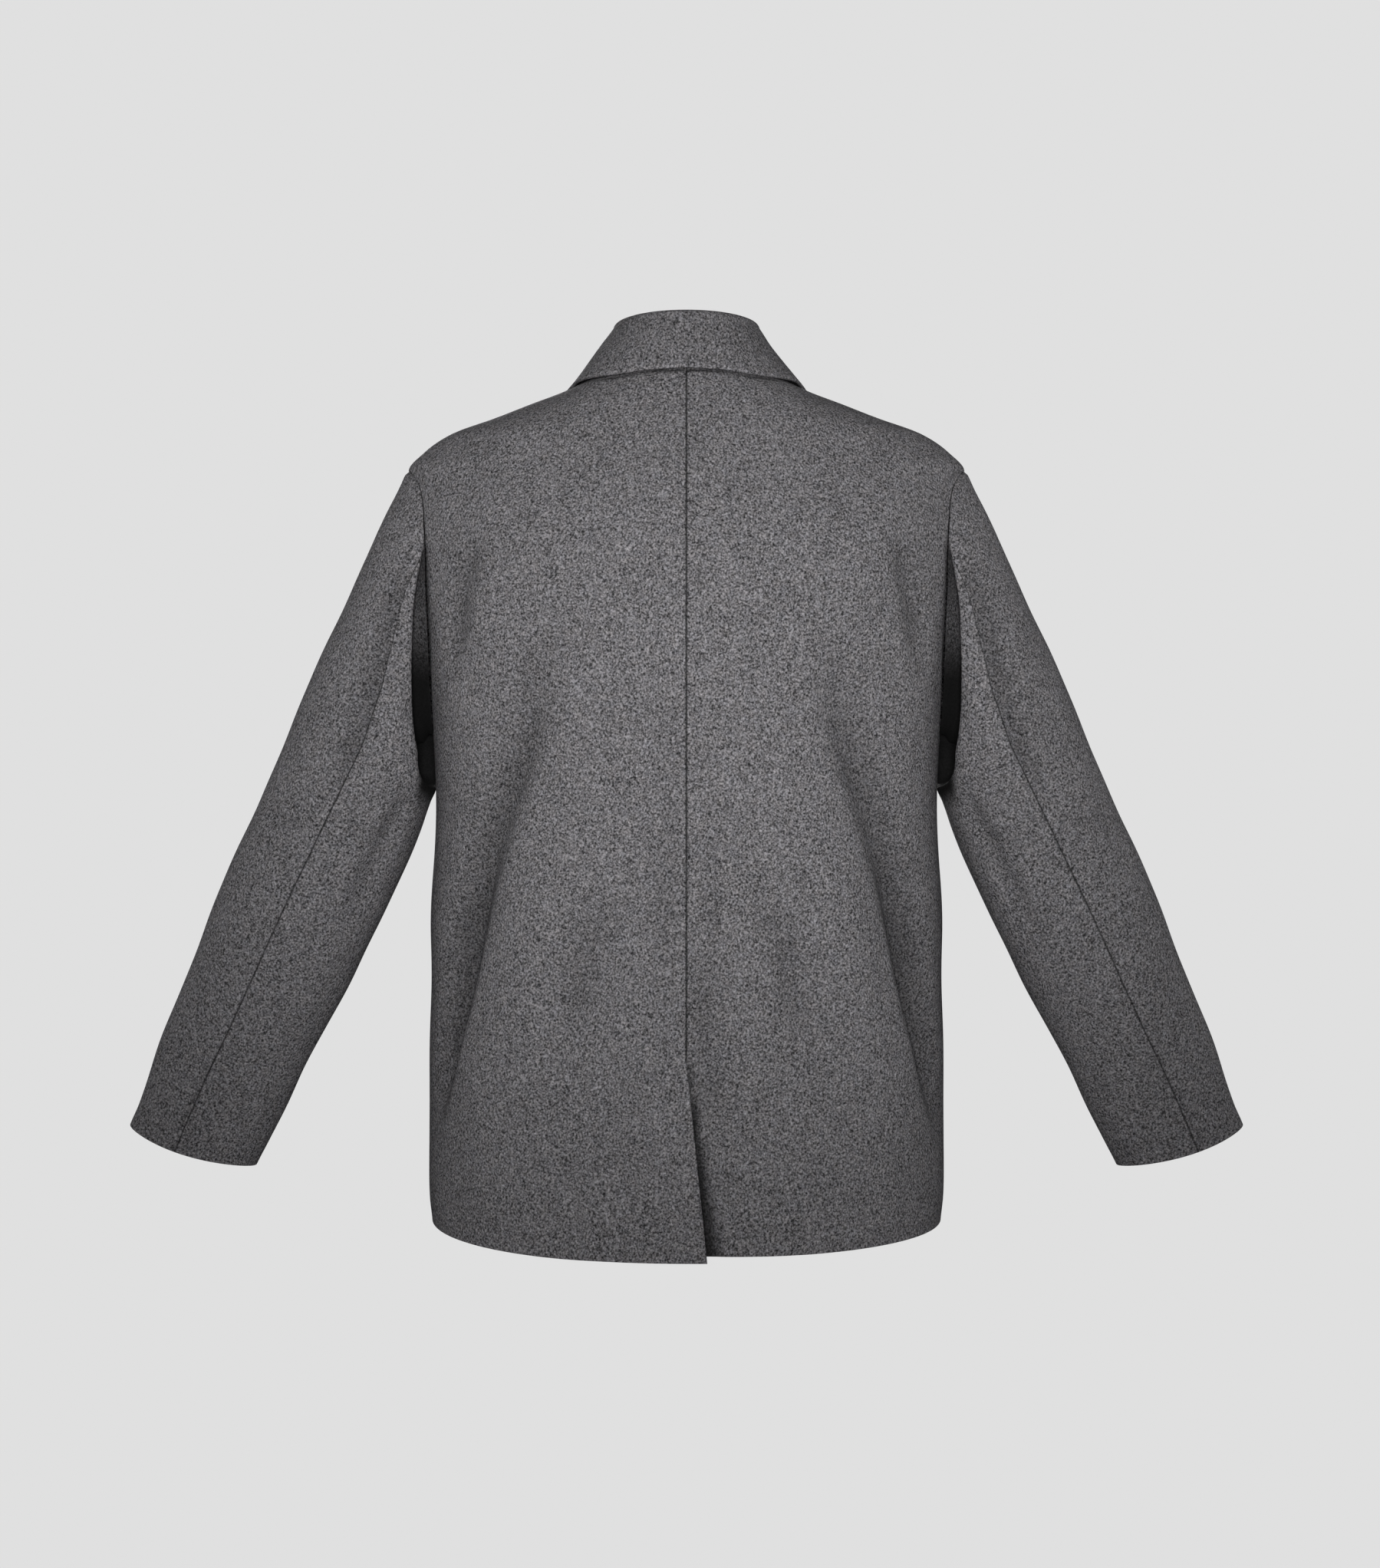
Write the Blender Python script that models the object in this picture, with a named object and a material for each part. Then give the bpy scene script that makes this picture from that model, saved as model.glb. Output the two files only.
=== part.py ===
"""A wool overshirt in its worn form, hollow, with nobody in it.

Metres, +Z up. The front faces -Y, the wearer's left is +X. The origin is the middle of the neck
opening, at the height where the shoulder seams meet the collar: the wearer's shoulders carry it.

Every panel is a grid of points on one garment form. The form is a stack of rounded rings. A point
on it has a turn, which is 0 at the side, +90 degrees at the centre back and -90 degrees at the
centre front, and a height. Each wall is that grid and the same grid moved in by the cloth.
"""

from collections import namedtuple

import bmesh
import bpy
import numpy as np
from mathutils import Vector

# Cloth and seams
CLOTH = 0.0020
STAND_CLOTH = 0.0024
FALL_CLOTH = 0.0028
SEAM_GAP = 0.0003
LAP_GAP = 0.0008

# Body lengths, as heights from the neck point
HEM_SIDE = -0.6765
HEM_FRONT = -0.6870
HEM_BACK_LEFT = -0.6925
HEM_BACK_RIGHT = -0.6885
HEM_CURVE = 1.2
ARMPIT = -0.2900
SHOULDER_TIP = -0.0744
NECK_BACK = 0.0080
NECK_FRONT = -0.0720
NECK_HALF_WIDTH = 0.0780
NECK_SCOOP = 1.6

# Armhole: how far it reaches from the line between shoulder tip and armpit
ARMPIT_FORWARD = -0.0200
TIP_FORWARD = -0.0030
ARMHOLE_BACK = 0.0560
ARMHOLE_FRONT = 0.0500
ARMHOLE_LEAN = 0.10
ARMHOLE_FULLNESS = 0.75

# Centre back vent and front lap
VENT_TOP = -0.5390
VENT_DROP = VENT_TOP - HEM_BACK_LEFT
VENT_STEP_END = VENT_TOP + 0.0100
VENT_STEP = 0.0330
VENT_CORNER = 0.0200
VENT_LAP = 0.0160
VENT_UNDERLAP = 0.0300
VENT_LIFT = 0.0025
VENT_SINK = 0.0090
FRONT_LAP = 0.0202
LAP_SINK = CLOTH + LAP_GAP
LAP_FADE = 0.0600
LAP_FLAT_OVER = 0.0100
LAP_FLAT_UNDER = 0.0170

# Collar
FOLD_HALF_WIDTH = 0.0520
FOLD_BACK = 0.0660
FOLD_FRONT = -0.0860
FOLD_SIDE_Y = -0.0080
FOLD_BACK_HEIGHT = 0.0397
FOLD_SIDE_HEIGHT = 0.0410
FOLD_FRONT_HEIGHT = -0.0450
ROLL_RADIUS = 0.0036
ROLL_CLEAR = 0.0006
FALL_CLEAR = 0.0022
COLLAR_OPEN = 0.012
FOLD_DROP_CURVE = 1.9

# Buttons
BUTTON_RADIUS = 0.0110
BUTTON_THICK = 0.0032
BUTTON_RIM = 0.0020
BUTTON_DISH = 0.0008
BUTTON_SIDES = 20
BUTTON_HEIGHTS = (-0.098, -0.216, -0.334, -0.452, -0.570)

# Where the grid lines of a body panel meet its middle, below the shoulder tip and the armpit
BACK_YOKE_DROP = 0.0200
FRONT_YOKE_DROP = 0.0500
UNDERARM_DROP = 0.0100

# Mesh density
BODY_COLUMNS = 12
CENTRE_COLUMNS = 3
LAP_COLUMNS = 2
SIDE_ROWS = 12
ARMHOLE_ROWS = 12
SHOULDER_ROWS = 6
SLEEVE_ROWS = 15
SLEEVE_COLUMNS = 12
STAND_ROWS = 2
FALL_ROWS = 4
ROLL_ROWS = 3
RELAX_PASSES = 12

Ring = namedtuple("Ring", "height half_width back_depth front_depth fullness")
BODY_RINGS = (
    Ring(-0.700, 0.2030, 0.1470, 0.1390, 2.30),
    Ring(-0.640, 0.2064, 0.1430, 0.1360, 2.30),
    Ring(-0.560, 0.2070, 0.1380, 0.1320, 2.30),
    Ring(-0.450, 0.2060, 0.1320, 0.1270, 2.30),
    Ring(-0.340, 0.2018, 0.1270, 0.1230, 2.30),
    Ring(-0.290, 0.2034, 0.1280, 0.1220, 2.30),
    Ring(-0.230, 0.2095, 0.1290, 0.1210, 2.30),
    Ring(-0.180, 0.2150, 0.1270, 0.1180, 2.30),
    Ring(-0.130, 0.2195, 0.1200, 0.1090, 2.20),
    Ring(-0.100, 0.2225, 0.1130, 0.1000, 2.00),
    Ring(-0.0744, 0.2245, 0.1050, 0.0900, 1.78),
    Ring(-0.0589, 0.2114, 0.0990, 0.0840, 1.74),
    Ring(-0.0465, 0.1934, 0.0950, 0.0790, 1.76),
    Ring(-0.0341, 0.1590, 0.0900, 0.0730, 1.82),
    Ring(-0.0217, 0.1250, 0.0840, 0.0680, 1.90),
    Ring(-0.0095, 0.0965, 0.0780, 0.0640, 1.95),
    Ring(0.0000, 0.0780, 0.0730, 0.0620, 2.00),
    Ring(0.0120, 0.0750, 0.0650, 0.0600, 2.00),
)

# The left sleeve's rings, each from its outer edge to its inner edge as seen from behind.
# below is the distance down the sleeve, seam_back the turn of the back seam from the top line.
SleeveRing = namedtuple(
    "SleeveRing", "below outer_x outer_z inner_x inner_z middle_y half_depth seam_back seam_front"
)
SLEEVE_RINGS = (
    SleeveRing(0.000, 0.2245, -0.0744, 0.2034, -0.2900, -0.010, 0.050, 75.0, 255.0),
    SleeveRing(0.030, 0.2400, -0.1055, 0.2056, -0.2915, -0.009, 0.054, 78.0, 254.0),
    SleeveRing(0.080, 0.2640, -0.1550, 0.2052, -0.2990, -0.008, 0.058, 86.0, 252.0),
    SleeveRing(0.130, 0.2850, -0.2010, 0.2046, -0.3120, -0.008, 0.060, 91.0, 251.0),
    SleeveRing(0.180, 0.3050, -0.2450, 0.2050, -0.3290, -0.009, 0.060, 91.0, 250.0),
    SleeveRing(0.240, 0.3280, -0.2980, 0.2125, -0.3555, -0.011, 0.058, 88.5, 250.0),
    SleeveRing(0.300, 0.3505, -0.3500, 0.2330, -0.4035, -0.013, 0.054, 86.0, 250.0),
    SleeveRing(0.360, 0.3745, -0.4020, 0.2588, -0.4575, -0.016, 0.050, 85.0, 250.0),
    SleeveRing(0.420, 0.3945, -0.4480, 0.2822, -0.5035, -0.020, 0.046, 85.0, 250.0),
    SleeveRing(0.480, 0.4125, -0.4950, 0.3058, -0.5475, -0.025, 0.042, 84.0, 250.0),
    SleeveRing(0.540, 0.4348, -0.5500, 0.3300, -0.5945, -0.031, 0.038, 82.0, 250.0),
    SleeveRing(0.595, 0.4575, -0.6110, 0.3545, -0.6430, -0.036, 0.036, 81.0, 250.0),
)
CAP_LENGTH = 0.150
CUFF_DIP = 0.008
RIM_GAP = SEAM_GAP * 0.8

# Rows down the sleeve crowd towards the armhole: a quarter of them lie above this length
CAP_ROWS_LENGTH = 0.085

# Soft folds down the back: turns at the top, middle and bottom, in degrees from the side.
# Depth is positive outwards.
Fold = namedtuple("Fold", "top middle bottom top_turn middle_turn bottom_turn half_turn depth")
BACK_FOLDS = (
    Fold(-0.180, -0.440, -0.640, 66.0, 41.0, 13.0, 7.5, -0.0110),
    Fold(-0.240, -0.450, -0.660, 80.0, 57.0, 34.0, 9.0, 0.0055),
    Fold(-0.380, -0.500, -0.640, 72.0, 66.0, 60.0, 5.0, -0.0035),
)

# The collar's outer edge, on the form, from the centre back to the collar point.
EdgePoint = namedtuple("EdgePoint", "around turn height")
COLLAR_EDGE = (
    EdgePoint(0.00, 90.0, -0.0030),
    EdgePoint(0.25, 50.0, -0.0040),
    EdgePoint(0.45, 10.0, -0.0052),
    EdgePoint(0.52, -4.0, -0.0068),
    EdgePoint(0.70, -45.0, -0.0290),
    EdgePoint(0.85, -66.0, -0.0580),
    EdgePoint(1.00, -79.0, -0.0920),
)

SHARP_EDGE = np.radians(40)

# Materials: base colour and roughness
WOOL = ("fulled_wool", (0.108, 0.106, 0.110, 1.0), 0.95)
HORN = ("dark_horn", (0.020, 0.018, 0.017, 1.0), 0.35)


def smooth(known, values, at):
    """A smooth curve through the known values that never swings past them."""
    known, values, at = (np.asarray(a, float) for a in (known, values, at))
    step = np.diff(known)
    rise = np.diff(values) / step
    slope = np.zeros_like(values)
    slope[0], slope[-1] = rise[0], rise[-1]
    same = rise[:-1] * rise[1:] > 0
    total = np.where(same, rise[:-1] + rise[1:], 1.0)
    slope[1:-1] = np.where(same, 2 * rise[:-1] * rise[1:] / total, 0.0)
    i = np.clip(np.searchsorted(known, at, side="right") - 1, 0, len(step) - 1)
    t = np.clip((at - known[i]) / step[i], 0, 1)
    h = step[i]
    return (
        values[i] * (1 + 2 * t) * (1 - t) ** 2
        + slope[i] * h * t * (1 - t) ** 2
        + values[i + 1] * t**2 * (3 - 2 * t)
        + slope[i + 1] * h * t**2 * (t - 1)
    )


def column(rows, name):
    """One named column of a table."""
    return np.array([getattr(row, name) for row in rows])


def ease(t):
    """0 before 0, 1 after 1, and a smooth step between."""
    t = np.clip(t, 0, 1)
    return t * t * (3 - 2 * t)


def unit(v):
    """Directions of length 1."""
    return v / np.linalg.norm(v, axis=-1, keepdims=True)


def ring_sizes(turn, height):
    """Half width, depth on the turn's side, and fullness of the form at each point."""
    heights = column(BODY_RINGS, "height")
    width, back, front, full = (
        smooth(heights, column(BODY_RINGS, name), height)
        for name in ("half_width", "back_depth", "front_depth", "fullness")
    )
    return width, np.where(np.sin(turn) >= 0, back, front), full


def form(turn, height):
    """Points of the garment form."""
    turn, height = np.broadcast_arrays(np.asarray(turn, float), np.asarray(height, float))
    width, depth, full = ring_sizes(turn, height)
    across, along = np.cos(turn), np.sin(turn)
    x = width * np.sign(across) * np.abs(across) ** (2 / full)
    y = depth * np.sign(along) * np.abs(along) ** (2 / full)
    return np.stack([x, y, height], axis=-1)


def form_normal(turn, height):
    """Directions straight out of the form, from the points close by on each side."""
    near_turn, near_height = 0.03, 0.002
    around = form(turn + near_turn, height) - form(turn - near_turn, height)
    up = form(turn, height + near_height) - form(turn, height - near_height)
    return unit(np.cross(around, up))


def turn_at_depth(y, height):
    """The turn where the form is that far behind or in front of the side line."""
    _, depth, full = ring_sizes(np.sign(y), height)
    return np.sign(y) * np.arcsin(np.clip(np.abs(y) / depth, 0, 1) ** (full / 2))


def turn_at_width(x, height, side):
    """The turn where the form is that far from the middle, on the back (1) or the front (-1)."""
    width, _, full = ring_sizes(np.full(np.shape(x), side), height)
    return side * np.arccos(np.sign(x) * np.clip(np.abs(x) / width, 0, 1) ** (full / 2))


def armhole(reach, side):
    """Turn and height of the armhole, reach going from 0 at the armpit to 1 at the tip."""
    lean = 1 - ARMHOLE_LEAN * np.cos(np.pi * reach)
    bow = np.maximum(np.sin(np.pi * reach), 0) ** ARMHOLE_FULLNESS * lean
    size = ARMHOLE_BACK if side > 0 else -ARMHOLE_FRONT
    y = ARMPIT_FORWARD + (TIP_FORWARD - ARMPIT_FORWARD) * reach + size * bow
    height = ARMPIT + (SHOULDER_TIP - ARMPIT) * (1 - np.cos(np.pi * reach)) / 2
    return turn_at_depth(y, height), height


def ridge_turn():
    """The turn of the shoulder seam, from the shoulder tip to the neck point."""
    return float(armhole(np.array(1.0), 1)[0])


def neck_height(angle):
    """Height of the neck seam, by its angle in the top view, +90 degrees at the centre back."""
    back = NECK_BACK * np.sin(angle) ** 2
    front = NECK_FRONT * np.abs(np.sin(angle)) ** NECK_SCOOP
    return np.where(angle >= 0, back, front)


def neck(angle):
    """Turn and height of the neck seam, by its angle in the top view."""
    height = neck_height(angle)
    front_turn = turn_at_width(NECK_HALF_WIDTH * np.cos(angle), height, -1)
    return np.where(angle >= 0, angle, front_turn), height


def fold_relief(turn, height):
    """How far the soft folds of the back move the cloth out of the form."""
    moved = np.zeros(np.shape(turn))
    for fold in BACK_FOLDS:
        heights = (fold.bottom, fold.middle, fold.top)
        turns = np.radians([fold.bottom_turn, fold.middle_turn, fold.top_turn])
        line = smooth(heights, turns, height)
        across = np.exp(-(((turn - line) / np.radians(fold.half_turn)) ** 2))
        rise = ease((height - fold.bottom) / (fold.middle - fold.bottom))
        fall = ease((fold.top - height) / (fold.top - fold.middle))
        moved = moved + fold.depth * across * rise * fall
    return moved


def hem_height(turn, middle_height):
    """The hem, lowest at the centre and lifting to the side seams."""
    return HEM_SIDE + (middle_height - HEM_SIDE) * np.abs(np.sin(turn)) ** HEM_CURVE


def blend_edges(bottom, top, middle, outer):
    """Fills a four-sided patch from its edges, each a list of turn and height."""
    u = np.linspace(0, 1, len(bottom))[None, :, None]
    v = ((middle[:, 1] - middle[0, 1]) / (middle[-1, 1] - middle[0, 1]))[:, None, None]
    sides = (1 - u) * middle[:, None] + u * outer[:, None]
    ends = (1 - v) * bottom[None] + v * top[None]
    corners = (
        (1 - u) * (1 - v) * bottom[0]
        + u * (1 - v) * bottom[-1]
        + (1 - u) * v * top[0]
        + u * v * top[-1]
    )
    return sides + ends - corners


def relax(patch):
    """Evens out a patch inside its edges, so that none of its cells folds over."""
    for _ in range(RELAX_PASSES):
        across = patch[1:-1, :-2] + patch[1:-1, 2:]
        patch[1:-1, 1:-1] = (across + patch[:-2, 1:-1] + patch[2:, 1:-1]) / 4
    return patch


def panel_rows(side, hem_middle):
    """The patch of one body panel, as turns and heights on a grid of rows and columns."""
    seam_turn = float(armhole(np.array(0.0), side)[0])
    neck_middle = NECK_BACK if side > 0 else NECK_FRONT
    hem_turns = np.linspace(side * np.pi / 2, seam_turn, BODY_COLUMNS + 1)
    bottom = np.stack([hem_turns, hem_height(hem_turns, hem_middle)], axis=1)
    top = np.stack(neck(np.linspace(side * np.pi / 2, ridge_turn(), BODY_COLUMNS + 1)), axis=1)
    seam_heights = np.linspace(bottom[-1, 1], ARMPIT, SIDE_ROWS + 1)
    seam = np.stack([np.full(SIDE_ROWS + 1, seam_turn), seam_heights], axis=1)
    hole = np.stack(armhole(np.linspace(0, 1, ARMHOLE_ROWS + 1)[1:], side), axis=1)
    ridge_heights = np.linspace(SHOULDER_TIP, top[-1, 1], SHOULDER_ROWS + 1)[1:]
    ridge = np.stack([np.full(SHOULDER_ROWS, ridge_turn()), ridge_heights], axis=1)
    outer = np.concatenate([seam, hole, ridge])
    yoke = SHOULDER_TIP - (BACK_YOKE_DROP if side > 0 else FRONT_YOKE_DROP)
    underarm = ARMPIT - UNDERARM_DROP
    middle_heights = np.concatenate(
        [
            np.linspace(hem_middle, underarm, SIDE_ROWS + 1),
            np.linspace(underarm, yoke, ARMHOLE_ROWS + 1)[1:],
            np.linspace(yoke, neck_middle, SHOULDER_ROWS + 1)[1:],
        ]
    )
    middle = np.stack([np.full(len(outer), side * np.pi / 2), middle_heights], axis=1)
    return relax(blend_edges(bottom, top, middle, outer))


def vent_edge_over(height):
    """Where the lapping edge of the vent runs, as a distance past the middle."""
    share = np.clip((VENT_TOP - height) / VENT_DROP, 0, 1)
    return np.where(share > 0, -VENT_LAP * share, SEAM_GAP / 2)


def vent_edge_under(height):
    """Where the hidden edge of the vent's underlap runs."""
    share = np.clip((VENT_TOP - height) / VENT_CORNER, 0, 1)
    return SEAM_GAP / 2 - (VENT_UNDERLAP + SEAM_GAP / 2) * share


def vent_lift(x, height):
    """The lapping side of the vent stands a little off."""
    down = ease((VENT_TOP - height) / VENT_DROP)
    return VENT_LIFT * down * (1 - ease((x - LAP_FLAT_OVER) / LAP_FADE))


def vent_sink(x, height):
    """The underlap side of the vent lies in, by a cloth at the top and more at the hem."""
    start = ease((VENT_STEP_END - height) / VENT_STEP + 1)
    down = np.clip((VENT_TOP - height) / VENT_DROP, 0, 1)
    deep = LAP_SINK * start + (VENT_SINK - LAP_SINK) * down
    return -deep * (1 - ease((x - LAP_FLAT_UNDER) / LAP_FADE))


def front_edge(height):
    """Both fronts reach past the middle, the left one on top."""
    return np.full(height.shape, -FRONT_LAP)


def front_sink(x, height):
    """The right front lies under the left one."""
    return -LAP_SINK * (1 - ease((x - FRONT_LAP) / LAP_FADE))


def no_move(x, height):
    """The left front keeps to the form."""
    return np.zeros(np.shape(x))


def body_panel(side, hem_middle, edge, move, laps):
    """Outer points and outward directions of one left-hand body panel."""
    patch = panel_rows(side, hem_middle)
    patch = np.concatenate([np.repeat(patch[:, :1], laps, axis=1), patch], axis=1)
    turn, height = patch[..., 0], patch[..., 1]
    x = form(turn, height)[..., 0]
    near = slice(0, laps + CENTRE_COLUMNS)
    across = np.sin(np.arange(-laps, CENTRE_COLUMNS + 1) * np.pi / 2 / BODY_COLUMNS)
    share = (across[:-1] - across[0]) / (across[-1] - across[0])
    first = edge(height[:, 0])[:, None]
    x[:, near] = first + (x[:, laps + CENTRE_COLUMNS, None] - first) * share
    neck_angle = side * np.arccos(np.clip(x[-1, near] / NECK_HALF_WIDTH, -1, 1))
    up = ((height[:, 0] - height[0, 0]) / (height[-1, 0] - height[0, 0]))[:, None]
    height[:, near] += (neck_height(neck_angle) - height[-1, near]) * up
    turn[:, near] = turn_at_width(x[:, near], height[:, near], side)
    points, normals = form(turn, height), form_normal(turn, height)
    relief = move(x, height)
    if side > 0:
        relief = relief + fold_relief(turn, height)
    points = points + normals * relief[..., None]
    on_seam = np.ones(len(points), bool)
    on_seam[SIDE_ROWS + 1 : SIDE_ROWS + ARMHOLE_ROWS] = False
    points[on_seam, -1, 1] += side * SEAM_GAP / 2
    return points, normals


def sleeve_ring(angle, below):
    """Points of the sleeve's own rings, angle being 0 on top and 90 degrees at the back."""
    known = column(SLEEVE_RINGS, "below")
    outer_x, outer_z, inner_x, inner_z, middle_y, half_depth = (
        smooth(known, column(SLEEVE_RINGS, name), below)
        for name in ("outer_x", "outer_z", "inner_x", "inner_z", "middle_y", "half_depth")
    )
    toward_outer = (1 + np.cos(angle)) / 2
    x = inner_x + (outer_x - inner_x) * toward_outer
    z = inner_z + (outer_z - inner_z) * toward_outer
    return np.stack([x, middle_y + half_depth * np.sin(angle), z], axis=-1)


def armhole_rim(angle):
    """Where the sleeve starts: the armhole, a seam's gap out of it and into its hole."""
    angle = (angle + np.pi) % (2 * np.pi) - np.pi
    reach = 1 - np.abs(angle) / np.pi
    ends, outs = [], []
    for side in (1, -1):
        turn, height = armhole(reach, side)
        ends.append(form(turn, height))
        outs.append(form_normal(turn, height))
    back = (angle >= 0)[..., None]
    rim, out = np.where(back, ends[0], ends[1]), np.where(back, outs[0], outs[1])
    centre = (form(*armhole(np.array(1.0), 1)) + form(*armhole(np.array(0.0), 1))) / 2
    into = centre - rim
    into = unit(into - (into * out).sum(-1, keepdims=True) * out)
    return rim + (out + into) * RIM_GAP, into


def sleeve_point(angle, below):
    """Points of the sleeve: its rings, shaped into the armhole over the sleeve cap."""
    angle, below = np.broadcast_arrays(angle, below)
    own = sleeve_ring(angle, below)
    cap = 1 - ease(below / CAP_LENGTH)
    rim = armhole_rim(angle)[0]
    return own + (rim - sleeve_ring(angle, np.zeros_like(below))) * cap[..., None]


def sleeve_panel(from_seam, to_seam):
    """Outer and inner points of one left-hand sleeve panel between two of its seams."""
    ring_below = column(SLEEVE_RINGS, "below")
    crowded = [0, CAP_ROWS_LENGTH, ring_below[-1]]
    below = smooth([0, 0.25, 1], crowded, np.linspace(0, 1, SLEEVE_ROWS + 1))
    start = np.radians(smooth(ring_below, column(SLEEVE_RINGS, from_seam), below))
    end = np.radians(smooth(ring_below, column(SLEEVE_RINGS, to_seam), below))
    if from_seam == "seam_front":
        start = start - 2 * np.pi
    angle = start[:, None] + (end - start)[:, None] * np.linspace(0, 1, SLEEVE_COLUMNS + 1)
    down = below[:, None] * (1 - CUFF_DIP * np.cos(angle) ** 2)
    near_angle, near_down = 0.04, 0.003
    points = sleeve_point(angle, down)
    around = sleeve_point(angle + near_angle, down) - sleeve_point(angle - near_angle, down)
    along = sleeve_point(angle, np.minimum(down + near_down, below[-1])) - sleeve_point(
        angle, np.maximum(down - near_down, 0)
    )
    inward = unit(np.cross(along, around)) * -1.0
    into = armhole_rim(angle[0])[1]
    runs_back = np.minimum((inward[0] * into).sum(-1, keepdims=True), 0)
    inward[0] = inward[0] - runs_back * into
    gap = unit(around) * SEAM_GAP / 2
    points[:, 0] += gap[:, 0]
    points[:, -1] -= gap[:, -1]
    return points, points + inward * CLOTH


def collar_fold(angle):
    """The line that the collar folds over, by its angle in the top view."""
    back = angle >= 0
    x = FOLD_HALF_WIDTH * np.cos(angle)
    depth = np.where(back, FOLD_BACK - FOLD_SIDE_Y, FOLD_SIDE_Y - FOLD_FRONT)
    y = FOLD_SIDE_Y + depth * np.sin(angle)
    rise = (FOLD_BACK_HEIGHT - FOLD_SIDE_HEIGHT) * np.sin(angle) ** 2
    drop = (FOLD_FRONT_HEIGHT - FOLD_SIDE_HEIGHT) * np.abs(np.sin(angle)) ** FOLD_DROP_CURVE
    return np.stack([x, y, FOLD_SIDE_HEIGHT + np.where(back, rise, drop)], axis=-1)


def round_the_neck(half):
    """Mirrors a left half, from the centre back to the centre front, into the whole."""
    return np.concatenate([half[:0:-1] * (-1, 1, 1), half])


def collar_angles():
    """Angles round the collar, with one on each column of the panels below it."""
    back = np.linspace(np.pi / 2, ridge_turn(), BODY_COLUMNS + 1)
    front = np.linspace(ridge_turn(), COLLAR_OPEN - np.pi / 2, BODY_COLUMNS + 1)
    return np.concatenate([back, front[1:]])


def square_to(line, direction):
    """Directions as near to the given ones as can be square to a line."""
    tangent = unit(np.gradient(line, axis=0))
    return unit(direction - (direction * tangent).sum(-1, keepdims=True) * tangent)


def collar_stand():
    """Outer points of the stand, in rows from the fold down to the neck seam."""
    angles = collar_angles()
    top, foot = round_the_neck(collar_fold(angles)), round_the_neck(form(*neck(angles)))
    foot = foot + square_to(foot, top - foot) * SEAM_GAP
    share = np.linspace(0, 1, STAND_ROWS + 1)[:, None, None]
    return top + (foot - top) * share


def collar_fall():
    """Middle line points of the fall, in rows from the fold down to the edge, and outward."""
    angles = collar_angles()
    around = np.linspace(0, 1, len(angles))
    known = column(COLLAR_EDGE, "around")
    turn = np.radians(smooth(known, column(COLLAR_EDGE, "turn"), around))
    height = smooth(known, column(COLLAR_EDGE, "height"), around)
    edge = form(turn, height) + form_normal(turn, height) * (FALL_CLEAR + FALL_CLOTH / 2)
    fold, edge = round_the_neck(collar_fold(angles)), round_the_neck(edge)
    out = square_to(fold, (edge - fold) * (1, 1, 0))
    up = np.cross(unit(np.gradient(fold, axis=0)), out)
    start = fold + out * (ROLL_RADIUS - STAND_CLOTH / 2) + up * ROLL_CLEAR
    leans = np.linspace(np.pi, 0, ROLL_ROWS + 1)[:, None, None]
    around_roll = out * np.cos(leans) + up * np.sin(leans)
    roll = start + ROLL_RADIUS * around_roll
    shares = np.linspace(0, 1, FALL_ROWS + 1)[1:, None, None]
    rows = np.concatenate([roll, roll[-1] + (edge - roll[-1]) * shares])
    normals = grid_normals(rows)
    normals[:ROLL_ROWS] = around_roll[:ROLL_ROWS]
    return rows, normals


def grid_normals(points):
    """Directions out of a collar grid, whose rows run down, from the points beside each one."""
    along = np.gradient(points, axis=1)
    down = np.gradient(points, axis=0)
    return unit(np.cross(along, down))


def wall(name, outer, inner, material, mirrored=False):
    """A closed solid between an outer and an inner grid of points."""
    if mirrored:
        outer, inner = outer * (-1, 1, 1), inner * (-1, 1, 1)
    rows, columns = outer.shape[:2]
    index = np.arange(rows * columns).reshape(rows, columns)
    a, b = index[:-1, :-1].ravel(), index[:-1, 1:].ravel()
    c, d = index[1:, 1:].ravel(), index[1:, :-1].ravel()
    flat = outer.reshape(-1, 3)
    short = np.linalg.norm(flat[a] - flat[c], axis=1) <= np.linalg.norm(flat[b] - flat[d], axis=1)
    skin = np.concatenate(
        [
            np.stack([a, b, c], 1)[short],
            np.stack([a, c, d], 1)[short],
            np.stack([a, b, d], 1)[~short],
            np.stack([b, c, d], 1)[~short],
        ]
    )
    rim = np.concatenate([index[0], index[1:, -1], index[-1, -2::-1], index[-2:0:-1, 0]])
    after = np.roll(rim, -1)
    total = rows * columns
    edge = np.stack([rim, rim + total, after + total, after], 1)
    bm = bmesh.new()
    for point in np.concatenate([flat, inner.reshape(-1, 3)]):
        bm.verts.new(point)
    bm.verts.ensure_lookup_table()
    for face in (*skin, *(skin[:, ::-1] + total), *edge):
        bm.faces.new([bm.verts[int(i)] for i in face])
    bmesh.ops.recalc_face_normals(bm, faces=bm.faces)
    mesh = bpy.data.meshes.new(name)
    bm.to_mesh(mesh)
    bm.free()
    mesh.shade_smooth()
    mesh.set_sharp_from_angle(angle=SHARP_EDGE)
    mesh.materials.append(material)
    made = bpy.data.objects.new(name, mesh)
    bpy.context.scene.collection.objects.link(made)
    return made


def make_material(name, colour, roughness):
    material = bpy.data.materials.new(name)
    material.use_nodes = True
    shader = material.node_tree.nodes["Principled BSDF"]
    shader.inputs["Base Color"].default_value = colour
    shader.inputs["Roughness"].default_value = roughness
    shader.inputs["Metallic"].default_value = 0.0
    return material


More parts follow.
